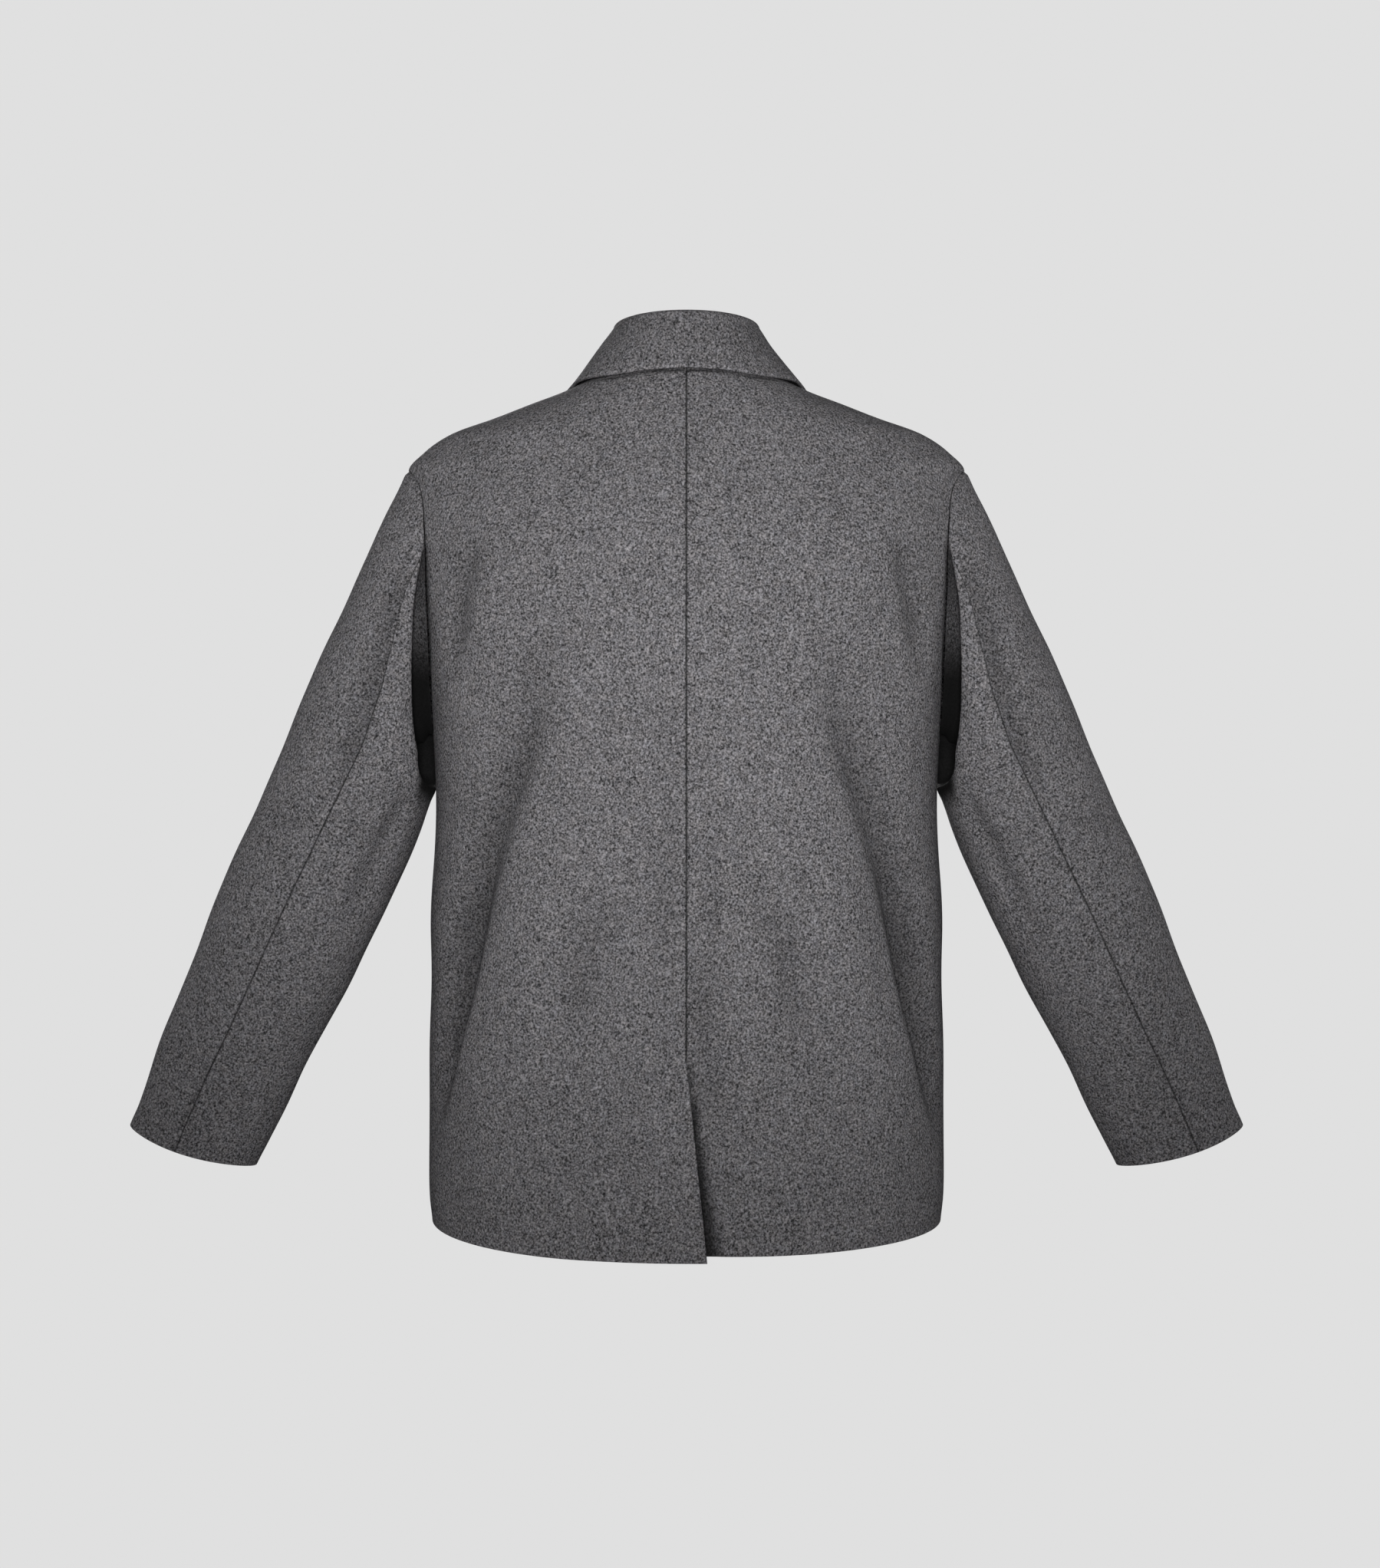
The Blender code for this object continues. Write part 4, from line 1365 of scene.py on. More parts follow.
@dataclass(frozen=True)
class Collar:
    """The stand, and the fall that rolls over it and lies on the shoulders."""

    edge: tuple[CollarEdge, ...] = (
        CollarEdge(0.000, 90.0, -0.0013),
        CollarEdge(0.144, 67.0, -0.0028),
        CollarEdge(0.250, 50.0, -0.0056),
        CollarEdge(0.350, 30.0, -0.0064),
        CollarEdge(0.450, 10.0, -0.0065),
        CollarEdge(0.520, -4.0, -0.0078),
        CollarEdge(0.700, -45.0, -0.0290),
        CollarEdge(0.850, -66.0, -0.0580),
        CollarEdge(1.000, -79.0, -0.0920),
    )
    fold_half_width: float = 0.0520
    fold_back: float = 0.0660
    fold_front: float = -0.0860
    fold_side_y: float = -0.0080
    fold_back_height: float = 0.0408
    fold_side_height: float = 0.0397
    fold_front_height: float = -0.0450
    fold_drop_curve: float = 1.9
    roll_radius: float = 0.0036
    roll_clear: float = 0.0006
    fall_clear: float = 0.0010
    # Painted shade over the whole fall, and a painted highlight along its rolled edge.
    painted_fall_shade: float = 0.10
    painted_edge_highlight: float = 0.30
    painted_edge_highlight_at: float = 0.0014
    painted_edge_highlight_half: float = 0.0009
    collar_open: float = 0.012
    stand_cloth: float = 0.0024
    fall_cloth: float = 0.0028
    seam_gap: float = 0.0003
    columns: int = 12
    split: int = 8
    stand_rows: int = 16
    roll_rows: int = 12
    fall_rows: int = 26
    front_steps: tuple[float, ...] = (0.4, 0.15, 0.05, 0.0)
    edge_crowd: float = 0.08
    edge_rows: int = 8
    most_sink: float = 0.42
    wave_from: float = 0.012
    stand_cut: Cut = Cut(0.42, 0.045, 0.0165)
    fall_cut: Cut = Cut(0.50, 0.085, 0.032)

    def angles(self) -> Grid:
        """Angles round the left half of the neck, from the centre back to the centre front.

        Returns:
            Falling angles in the top view, in radians.
        """
        count = self.columns * self.split + 1
        back = np.linspace(np.pi / 2, FORM.ridge_turn(), count)
        front_end = self.collar_open - np.pi / 2
        front = np.linspace(FORM.ridge_turn(), front_end, count)[1:]
        last = front[-1] + (front[-2] - front[-1]) * np.array(self.front_steps)
        return np.concatenate([back, front[:-1], last])

    def around_share(self) -> Grid:
        """The frame's even share round the collar at each of those angles.

        Returns:
            Shares from 0 at the centre back to 1 at the centre front.
        """
        angles = self.angles()
        known = np.concatenate(
            [
                np.linspace(np.pi / 2, FORM.ridge_turn(), self.columns + 1),
                np.linspace(FORM.ridge_turn(), self.collar_open - np.pi / 2, self.columns + 1)[1:],
            ]
        )
        return np.interp(-angles, -known, np.linspace(0, 1, len(known)))

    def fold(self, angle: Grid) -> Grid:
        """The line that the collar folds over: an oval in the top view, falling in front.

        Args:
            angle: Angles round the neck in the top view, in radians.

        Returns:
            Points, three numbers on the last axis.
        """
        back = angle >= 0
        x = self.fold_half_width * np.cos(angle)
        behind, ahead = self.fold_back - self.fold_side_y, self.fold_side_y - self.fold_front
        reach = np.where(back, behind, ahead)
        y = self.fold_side_y + reach * np.sin(angle)
        rise = (self.fold_back_height - self.fold_side_height) * np.sin(angle) ** 2
        drop = self.fold_front_height - self.fold_side_height
        drop = drop * np.abs(np.sin(angle)) ** self.fold_drop_curve
        return np.stack([x, y, self.fold_side_height + np.where(back, rise, drop)], axis=-1)

    def whole(self, half: Grid) -> Grid:
        """Mirrors a left half, from the centre back to the centre front, into the whole."""
        return np.concatenate([half[:0:-1] * (-1, 1, 1), half])

    def square_to(self, line: Grid, direction: Grid) -> Grid:
        """Directions as near to the given ones as can be square to a line."""
        tangent = unit(np.gradient(line, axis=0))
        return unit(direction - dot(direction, tangent)[..., None] * tangent)

    def stand_points(self) -> Grid:
        """Outer points of the stand, in rows from the fold down to the neck seam.

        Returns:
            Grid of points.
        """
        angles = self.angles()
        top, foot = self.whole(self.fold(angles)), self.whole(FORM.point(*FORM.neck(angles)))
        foot = foot + self.square_to(foot, top - foot) * self.seam_gap
        share = np.linspace(0, 1, self.stand_rows + 1)[:, None, None]
        return top + (foot - top) * share

    def fall_points(self) -> tuple[Grid, Grid]:
        """Middle points of the fall, in rows from the fold round its roll and down to the edge.

        Returns:
            Points and the directions out of them.
        """
        angles, around = self.angles(), self.around_share()
        known = column(self.edge, "around")
        turn = np.radians(smooth(known, column(self.edge, "turn"), around))
        height = smooth(known, column(self.edge, "height"), around)
        off = self.fall_clear + self.fall_cloth / 2
        edge = FORM.point(turn, height) + FORM.normal(turn, height) * off
        fold, edge = self.whole(self.fold(angles)), self.whole(edge)
        out = self.square_to(fold, (edge - fold) * (1, 1, 0))
        up = np.cross(unit(np.gradient(fold, axis=0)), out)
        start = fold + out * (self.roll_radius - self.stand_cloth / 2) + up * self.roll_clear
        leans = np.linspace(np.pi, 0, self.roll_rows + 1)[:, None, None]
        around_roll = out * np.cos(leans) + up * np.sin(leans)
        roll = start + self.roll_radius * around_roll
        even = np.linspace(0, 1, self.fall_rows + 1)[1:-1]
        crowded = 1 - np.array(EDGE_STEPS[self.edge_rows : 0 : -1]) * self.edge_crowd
        shares = np.unique(np.concatenate([even, crowded, [1.0]]))[:, None, None]
        rows = np.concatenate([roll, roll[-1] + (edge - roll[-1]) * shares])
        normals = surface_normals(rows)
        normals[: self.roll_rows] = around_roll[: self.roll_rows]
        return rows, normals

    def build(self, cloth: bpy.types.Material) -> None:
        """Makes the stand and the fall, and hides the frame's nodes that they replace.

        Args:
            cloth: The wool.
        """
        stand = self.stand_points()
        inner = stand - surface_normals(stand) * self.stand_cloth
        down = run_lengths(stand, 0)
        # The stand's seam line gets painted shade.
        made = shell("collar_stand_cloth", stand, inner, seam_shade(down[-1:] - down), cloth, False)
        dress_panel(made, "collar_stand")
        fall, out = self.fall_points()
        ends, down = run_lengths(fall, 1), run_lengths(fall, 0)
        to_edge = down[-1:] - down
        to_ends = np.minimum(ends, ends[:, -1:] - ends)
        sink = sum(edge_relief(fall, near, Edge.FOLDED)[0] for near in (to_edge, to_ends))
        half = self.fall_cloth / 2 - np.minimum(sink, self.fall_cloth * self.most_sink)
        wave = hand_waves(fall) * ease((down - self.wave_from) / WAVE_FADE)
        outer = fall + out * (half + wave)[..., None]
        inner = fall - out * (half - wave)[..., None]
        # A painted highlight just inside the fall's edge, over the painted shade of the whole fall.
        lit = bell(to_edge - self.painted_edge_highlight_at, self.painted_edge_highlight_half)
        shade = self.painted_fall_shade - self.painted_edge_highlight * lit
        made = shell("collar_fall_cloth", outer, inner, shade, cloth, False)
        dress_panel(made, "collar_fall")


@dataclass(frozen=True)
class Button:
    """A four-hole horn button: a dished round profile, with its holes as deep pits."""

    number: int
    height: float
    radius: float = 0.0110
    thick: float = 0.0032
    rim_width: float = 0.0024
    dish: float = 0.0009
    dish_curve: float = 6.0
    dish_rings: int = 29
    crown_from: float = 0.3
    crown_rings: int = 6
    back_rings: int = 4
    round_over: float = 0.0011
    round_steps: int = 9
    hole_ring: float = 0.0024
    hole_radius: float = 0.00085
    hole_soft: float = 0.2
    hole_depth: float = 0.7
    around: int = 96
    seat_gap: float = 0.0003
    strand_apart: float = 0.00035
    strand_radius: float = 0.00024
    strand_arch: float = 0.0011
    strand_sink: float = 0.0006
    strand_steps: int = 13
    slit_middle: float = 0.0045
    slit_half: float = 0.0120
    slit_bar: float = 0.0012
    slit_cord: float = 0.0007
    slit_lift: float = 0.0003
    slit_straight: float = 1.6
    slit_square: float = 2.5
    slit_steps: int = 49

    def seat(self) -> tuple[Grid, Grid]:
        """Where the button sits on the form.

        Returns:
            Its place, and its right, up and outward directions as rows.
        """
        turn, height = np.array(-np.pi / 2), np.array(self.height)
        place, out = FORM.point(turn, height), FORM.normal(turn, height)
        right = unit(np.cross(out, (0.0, 0.0, 1.0)))
        place = place + out * (self.seat_gap + hand_waves(place))
        return place, np.stack([right, np.cross(right, out) * -1.0, out])

    def profile(self) -> Grid:
        """Radius and height down the button's side, from the middle of its top to its back.

        Returns:
            Rows of a radius and a height.
        """
        flat = self.radius - self.rim_width
        inner = np.linspace(0.0, flat, self.dish_rings + 1)
        dip = self.thick - self.dish * (1 - ease((inner / flat) ** self.dish_curve))
        crown = np.linspace(self.crown_from, 1.0, self.crown_rings + 1)[:-1]
        top_radius = flat + crown * (self.rim_width - self.round_over)
        lean = np.linspace(0, np.pi / 2, self.round_steps)
        over = self.radius - self.round_over * (1 - np.sin(lean))
        rise = self.thick - self.round_over * (1 - np.cos(lean))
        under = self.radius - self.round_over * (1 - np.cos(lean))
        foot = self.round_over * (1 - np.sin(lean))
        back = np.linspace(self.radius - self.round_over, 0.0, self.back_rings + 1)[1:]
        radii = np.concatenate([inner, top_radius, over, under, back])
        top = np.full(len(crown), self.thick)
        heights = np.concatenate([dip, top, rise, foot, np.zeros(len(back))])
        return np.stack([radii, heights], axis=1)

    def points(self) -> Grid:
        """The button's points in its own plane, with its four holes pressed into its top.

        Returns:
            The middle of the top, the rings from there to the back, and the middle of the back.
        """
        profile = self.profile()
        angle = np.linspace(0, 2 * np.pi, self.around, endpoint=False)
        x = profile[1:-1, :1] * np.cos(angle)
        y = profile[1:-1, :1] * np.sin(angle)
        z = np.broadcast_to(profile[1:-1, 1:], x.shape).copy()
        on_top = np.arange(len(z)) < self.dish_rings
        for quarter in range(4):
            turn = pi / 4 + quarter * pi / 2
            far = np.hypot(x - self.hole_ring * cos(turn), y - self.hole_ring * sin(turn))
            wall = self.hole_radius * self.hole_soft
            pit = 1 - ease((far - self.hole_radius + wall) / (2 * wall))
            z -= pit * (self.thick * self.hole_depth) * on_top[:, None]
        rings = np.stack([x, y, z], axis=-1).reshape(-1, 3)
        return np.concatenate([[[0, 0, profile[0, 1]]], rings, [[0, 0, profile[-1, 1]]]])

    def faces(self, count: int) -> list:
        """The faces between the rings of that many points, and the fans at both ends.

        Args:
            count: How many points there are, with the two middles.

        Returns:
            Rows of point numbers.
        """
        index = np.arange(1, count - 1).reshape(-1, self.around)
        after = np.roll(index, -1, axis=1)
        sides = np.stack([index[:-1], index[1:], after[1:], after[:-1]], axis=-1).reshape(-1, 4)
        cap = [(0, int(a), int(b)) for a, b in zip(index[0], after[0])]
        foot = [(count - 1, int(b), int(a)) for a, b in zip(index[-1], after[-1])]
        return [*sides.tolist(), *cap, *foot]

    def build(self, horn: bpy.types.Material, thread: bpy.types.Material) -> None:
        """Makes the button, the thread that sews it on and its buttonhole.

        Args:
            horn: The button's finish.
            thread: The thread's finish.
        """
        place, axes = self.seat()
        points = place + self.points() @ axes
        mesh = bpy.data.meshes.new(f"button_{self.number}_horn")
        mesh.from_pydata(points.tolist(), [], self.faces(len(points)))
        mesh.shade_smooth()
        mesh.materials.append(horn)
        piece = add_object(mesh.name, mesh)
        face_outward(piece)
        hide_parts(f"button_{self.number}")
        ride_as(piece)
        ride_as(self.sew(place, axes, thread))
        ride_as(self.work_hole(thread))

    def sew(self, place: Grid, axes: Grid, thread: bpy.types.Material) -> bpy.types.Object:
        """Makes the thread: two bars of three strands, each strand an arch from hole to hole.

        Args:
            place: The button's place.
            axes: Its right, up and outward directions.
            thread: The thread's finish.

        Returns:
            The finished piece.
        """
        arch = np.sin(np.linspace(0, np.pi, self.strand_steps))[:, None] * (0, 0, self.strand_arch)
        share = np.linspace(0, 1, self.strand_steps)[:, None]
        floor = np.array([0, 0, self.thick - self.dish - self.strand_sink])
        paths = []
        for first in (pi / 4, 5 * pi / 4):
            for shift in (-self.strand_apart, 0.0, self.strand_apart):
                start, end = (
                    np.array([self.hole_ring * cos(a), self.hole_ring * sin(a) + shift, 0.0])
                    for a in (first, 3 * pi / 4)
                )
                paths.append(place + (start + (end - start) * share + arch + floor) @ axes)
        return tubes(f"button_thread_{self.number}", paths, self.strand_radius, thread)

    def work_hole(self, thread: bpy.types.Material) -> bpy.types.Object:
        """Makes the buttonhole: a worked ridge that runs round a slit with two round ends.

        Args:
            thread: The thread's finish.

        Returns:
            The finished piece.
        """
        turn = np.linspace(0, 2 * np.pi, self.slit_steps)
        reach = (self.slit_half + self.slit_bar) * self.slit_straight
        x = np.clip(np.cos(turn) * reach, -self.slit_half, self.slit_half)
        x = self.slit_middle + x + self.slit_bar * np.cos(turn)
        z = self.height + self.slit_bar * np.clip(np.sin(turn) * self.slit_square, -1, 1)
        place = FORM.turn_at_width(x, z, -1)
        path = FORM.point(place, z)
        path = path + FORM.normal(place, z) * (self.slit_lift + hand_waves(path))[:, None]
        return tubes(f"buttonhole_{self.number}", [path], self.slit_cord, thread)


def face_outward(piece: bpy.types.Object) -> None:
    """Turns a closed piece's faces outwards.

    Args:
        piece: The piece.
    """
    bm = bmesh.new()
    bm.from_mesh(piece.data)
    bmesh.ops.recalc_face_normals(bm, faces=bm.faces)
    bm.to_mesh(piece.data)
    bm.free()


TUBE_SIDEWAYS = (0.31, -0.27, 0.91)


def tubes(
    name: str, paths: Sequence[Grid], radius: float, finish: bpy.types.Material, sides: int = 8
) -> bpy.types.Object:
    """Closed round tubes along paths, in one mesh: a ring of points square to each path point.

    Args:
        name: The piece's name.
        paths: Each tube's middle line.
        radius: The tubes' radius.
        finish: Their material.
        sides: Points in a ring.

    Returns:
        The piece, linked to the scene.
    """
    points, faces, start = [], [], 0
    angle = np.linspace(0, 2 * np.pi, sides, endpoint=False)[:, None]
    for path in paths:
        tangent = unit(np.gradient(path, axis=0))
        side = unit(np.cross(tangent, TUBE_SIDEWAYS))
        other = np.cross(tangent, side)
        ring = side[:, None] * np.cos(angle) + other[:, None] * np.sin(angle)
        points.append((path[:, None] + ring * radius).reshape(-1, 3))
        index = start + np.arange(len(path) * sides).reshape(len(path), sides)
        after = np.roll(index, -1, axis=1)
        quads = np.stack([index[:-1], after[:-1], after[1:], index[1:]], axis=-1)
        faces += quads.reshape(-1, 4).tolist() + [index[0][::-1].tolist(), index[-1].tolist()]
        start += len(path) * sides
    mesh = bpy.data.meshes.new(name)
    mesh.from_pydata(np.concatenate(points).tolist(), [], faces)
    mesh.shade_smooth()
    mesh.materials.append(finish)
    piece = add_object(name, mesh)
    face_outward(piece)
    return piece


class Value:
    """One socket's value in a material, with arithmetic that adds Math nodes."""

    def __init__(self, tree: bpy.types.NodeTree, socket: bpy.types.NodeSocket) -> None:
        """Keeps the tree and the socket."""
        self.tree, self.socket = tree, socket

    def math(self, operation: str, *others: "Value | float", first: float | None = None) -> "Value":
        """Adds a Math node.

        Args:
            operation: The node's operation.
            others: Its other inputs.
            first: A number that goes before this value.

        Returns:
            The node's output.
        """
        node = self.tree.nodes.new("ShaderNodeMath")
        node.operation = operation
        inputs = (self, *others) if first is None else (first, self, *others)
        for socket, value in zip(node.inputs, inputs):
            put(self.tree, socket, value)
        return Value(self.tree, node.outputs[0])

    def __add__(self, other: "Value | float") -> "Value":
        """Sum."""
        return self.math("ADD", other)

    def __radd__(self, other: float) -> "Value":
        """Sum, the number first."""
        return self.math("ADD", first=other)

    def __sub__(self, other: "Value | float") -> "Value":
        """Difference."""
        return self.math("SUBTRACT", other)

    def __rsub__(self, other: float) -> "Value":
        """Difference, the number first."""
        return self.math("SUBTRACT", first=other)

    def __mul__(self, other: "Value | float") -> "Value":
        """Product."""
        return self.math("MULTIPLY", other)

    def __rmul__(self, other: float) -> "Value":
        """Product, the number first."""
        return self.math("MULTIPLY", first=other)

    def __pow__(self, other: float) -> "Value":
        """Power."""
        return self.math("POWER", other)

    def clamp(self, low: float = 0.0, high: float = 1.0) -> "Value":
        """The value kept between two numbers."""
        return self.math("MAXIMUM", low).math("MINIMUM", high)


def put(tree: bpy.types.NodeTree, socket: bpy.types.NodeSocket, value: object) -> None:
    """Links a value to a socket, or sets it.

    Args:
        tree: The nodes that the socket is in.
        socket: An input.
        value: A value or a constant.
    """
    if isinstance(value, Value):
        tree.links.new(value.socket, socket)
    else:
        socket.default_value = value


class Painter:
    """The node tree of a material or world, and one method that adds any node."""

    def __init__(self, owner: bpy.types.Material | bpy.types.World) -> None:
        """Starts the owner's nodes."""
        owner.use_nodes = True
        self.owner, self.tree = owner, owner.node_tree

    def node(
        self,
        kind: str,
        output: str | int = 0,
        settings: dict | None = None,
        numbered: dict[int, object] | None = None,
        **inputs: object,
    ) -> Value:
        """Adds a node.

        Args:
            kind: The node's type, without its ShaderNode prefix.
            output: The output wanted.
            settings: Its own settings, set first.
            numbered: Values or links of the sockets that share a name, by their number.
            inputs: Values or links of its other sockets, with _ for a space.

        Returns:
            The output.
        """
        node = self.tree.nodes.new("ShaderNode" + kind)
        for name, value in (settings or {}).items():
            setattr(node, name, value)
        for index, value in (numbered or {}).items():
            put(self.tree, node.inputs[index], value)
        for name, value in inputs.items():
            put(self.tree, node.inputs[name.replace("_", " ")], value)
        return Value(self.tree, node.outputs[output])

    def mix(self, factor: Value | float, first: object, second: object) -> Value:
        """A colour between two colours."""
        return self.node("Mix", 2, {"data_type": "RGBA"}, {0: factor, 6: first, 7: second})

    def noise(
        self, place: Value, scale: float, detail: float = 2.0, roughness: float = 0.5
    ) -> Value:
        """Cloudy noise from 0 to 1, about 0.5 in the middle.

        Args:
            place: Where the noise is read.
            scale: Cells in a metre.
            detail: Its finer layers.
            roughness: How strong they are.

        Returns:
            The noise.
        """
        return self.node(
            "TexNoise", "Fac", Vector=place, Scale=scale, Detail=detail, Roughness=roughness
        )

    def finish(self, **inputs: object) -> bpy.types.Material:
        """Sets the sockets of a material's own shader and gives the material.

        Args:
            inputs: Values or links of the shader's sockets, with _ for a space.

        Returns:
            The material.
        """
        for name, value in inputs.items():
            put(self.tree, self.tree.nodes["Principled BSDF"].inputs[name.replace("_", " ")], value)
        return self.owner


@dataclass(frozen=True)
class Melton:
    """Fulled charcoal wool: light and dark fibres, felted together, with a short nap."""

    name: str = "charcoal_melton"
    fleece: Colour = (0.112, 0.110, 0.114, 1.0)
    warm: Colour = (1.05, 1.00, 0.96, 1.0)
    cool: Colour = (0.97, 0.99, 1.05, 1.0)
    speck_scale: float = 640.0
    speck_share: float = 3.7
    fibre_scale: float = 1400.0
    fibre_share: float = 1.6
    cloud_scale: float = 34.0
    cloud_share: float = 0.20
    fibre_slant: tuple[float, float, float] = (0.0, radians(28), radians(9))
    fibre_stretch: tuple[float, float, float] = (1.0, 1.0, 0.92)
    darkest: float = 0.12
    lightest: float = 2.4
    contrast: float = 1.35
    tint_scale: float = 160.0
    speck_nap: float = 0.7
    fibre_nap: float = 0.5
    nap_strength: float = 0.55
    nap_height: float = 0.0007
    cloud_strength: float = 0.35
    cloud_height: float = 0.0035
    roughness: float = 0.92
    gloss: float = 0.2

    def material(self) -> bpy.types.Material:
        """Makes the material: specks and fibres lighten and darken the wool, and raise its nap.

        Returns:
            The material.
        """
        paint = Painter(bpy.data.materials.new(self.name))
        place = paint.node("TexCoord", "Object")
        slanted = paint.node(
            "Mapping", Vector=place, Rotation=self.fibre_slant, Scale=self.fibre_stretch
        )
        speck = paint.noise(slanted, self.speck_scale, 1.5, 0.55)
        fibre = paint.noise(slanted, self.fibre_scale, 1.0, 0.5)
        cloud = paint.noise(place, self.cloud_scale, 3.0, 0.6)
        # Painted shade and highlights of the panels, read from their shade attribute.
        shade = paint.node("Attribute", "Fac", {"attribute_name": "shade"})
        light = 1.0 + (speck - 0.5) * self.speck_share + (fibre - 0.5) * self.fibre_share
        light = light + (cloud - 0.5) * self.cloud_share
        # Multiplying by 1 - shade paints that shade into the wool's colour.
        light = light.clamp(self.darkest, self.lightest) ** self.contrast * (1.0 - shade)
        tint = paint.mix(paint.noise(place, self.tint_scale), self.warm, self.cool)
        tinted = paint.node(
            "VectorMath", 0, {"operation": "MULTIPLY"}, {0: tint, 1: self.fleece[:3]}
        )
        wool = paint.node("VectorMath", 0, {"operation": "SCALE"}, {0: tinted}, Scale=light)
        softly = paint.node(
            "Bump", Height=cloud, Strength=self.cloud_strength, Distance=self.cloud_height
        )
        napped = paint.node(
            "Bump",
            Height=speck * self.speck_nap + fibre * self.fibre_nap,
            Strength=self.nap_strength,
            Distance=self.nap_height,
            Normal=softly,
        )
        return paint.finish(
            Base_Color=wool,
            Roughness=self.roughness,
            Specular_IOR_Level=self.gloss,
            Normal=napped,
        )


@dataclass(frozen=True)
class Horn:
    """Dark polished horn, cloudy and faintly streaked."""

    name: str = "dark_horn"
    dark: Colour = (0.012, 0.010, 0.009, 1.0)
    brown: Colour = (0.060, 0.040, 0.028, 1.0)
    slant: tuple[float, float, float] = (0.0, 0.6, 0.0)
    stretch: tuple[float, float, float] = (1.0, 1.0, 0.2)
    cloud_scale: float = 260.0
    fine_scale: float = 1400.0
    brown_from: float = 0.42
    brown_steep: float = 3.0
    roughness: float = 0.46
    roughness_share: float = 0.25
    smoothest: float = 0.3
    roughest: float = 0.7
    gloss: float = 0.35
    bump_strength: float = 0.15
    bump_height: float = 0.0002

    def material(self) -> bpy.types.Material:
        """Makes the material: stretched noise mixes brown into the dark horn.

        Returns:
            The material.
        """
        paint = Painter(bpy.data.materials.new(self.name))
        place = paint.node("TexCoord", "Object")
        grain = paint.node("Mapping", Vector=place, Rotation=self.slant, Scale=self.stretch)
        cloud = paint.noise(grain, self.cloud_scale, 4.0, 0.6)
        fine = paint.noise(grain, self.fine_scale)
        brown = ((cloud - self.brown_from) * self.brown_steep).clamp()
        rough = self.roughness + (fine - 0.5) * self.roughness_share
        return paint.finish(
            Base_Color=paint.mix(brown, self.dark, self.brown),
            Roughness=rough.clamp(self.smoothest, self.roughest),
            Specular_IOR_Level=self.gloss,
            Normal=paint.node(
                "Bump", Height=fine, Strength=self.bump_strength, Distance=self.bump_height
            ),
        )


@dataclass(frozen=True)
class Thread:
    """Waxed grey sewing thread, twisted."""

    name: str = "sewing_thread"
    colour: Colour = (0.050, 0.049, 0.052, 1.0)
    # Painted shade for the valleys of the twist.
    dark: Colour = (0.025, 0.0245, 0.026, 1.0)
    twist_scale: float = 2600.0
    roughness: float = 0.75
    bump_strength: float = 0.5
    bump_height: float = 0.0002

    def material(self) -> bpy.types.Material:
        """Makes the material: a fine twist, with painted shade darkening the thread's valleys.

        Returns:
            The material.
        """
        paint = Painter(bpy.data.materials.new(self.name))
        place = paint.node("TexCoord", "Object")
        twist = paint.noise(place, self.twist_scale, 1.0)
        return paint.finish(
            Base_Color=paint.mix(twist, self.dark, self.colour),
            Roughness=self.roughness,
            Normal=paint.node(
                "Bump", Height=twist, Strength=self.bump_strength, Distance=self.bump_height
            ),
        )


@dataclass(frozen=True)
class Lamp:
    """A soft square light: where it is, what it looks at, its size and power."""

    name: str
    place: tuple[float, float, float]
    target: tuple[float, float, float]
    size: float
    power: float
    spread: float = 180.0

    def build(self) -> None:
        """Adds the light."""
        data = bpy.data.lights.new(self.name, "AREA")
        data.shape, data.size, data.energy = "SQUARE", self.size, self.power
        data.spread = radians(self.spread)
        light = add_object(self.name, data)
        light.location = self.place
        toward = Vector(self.target) - Vector(self.place)
        light.rotation_euler = toward.to_track_quat("-Z", "Y").to_euler()


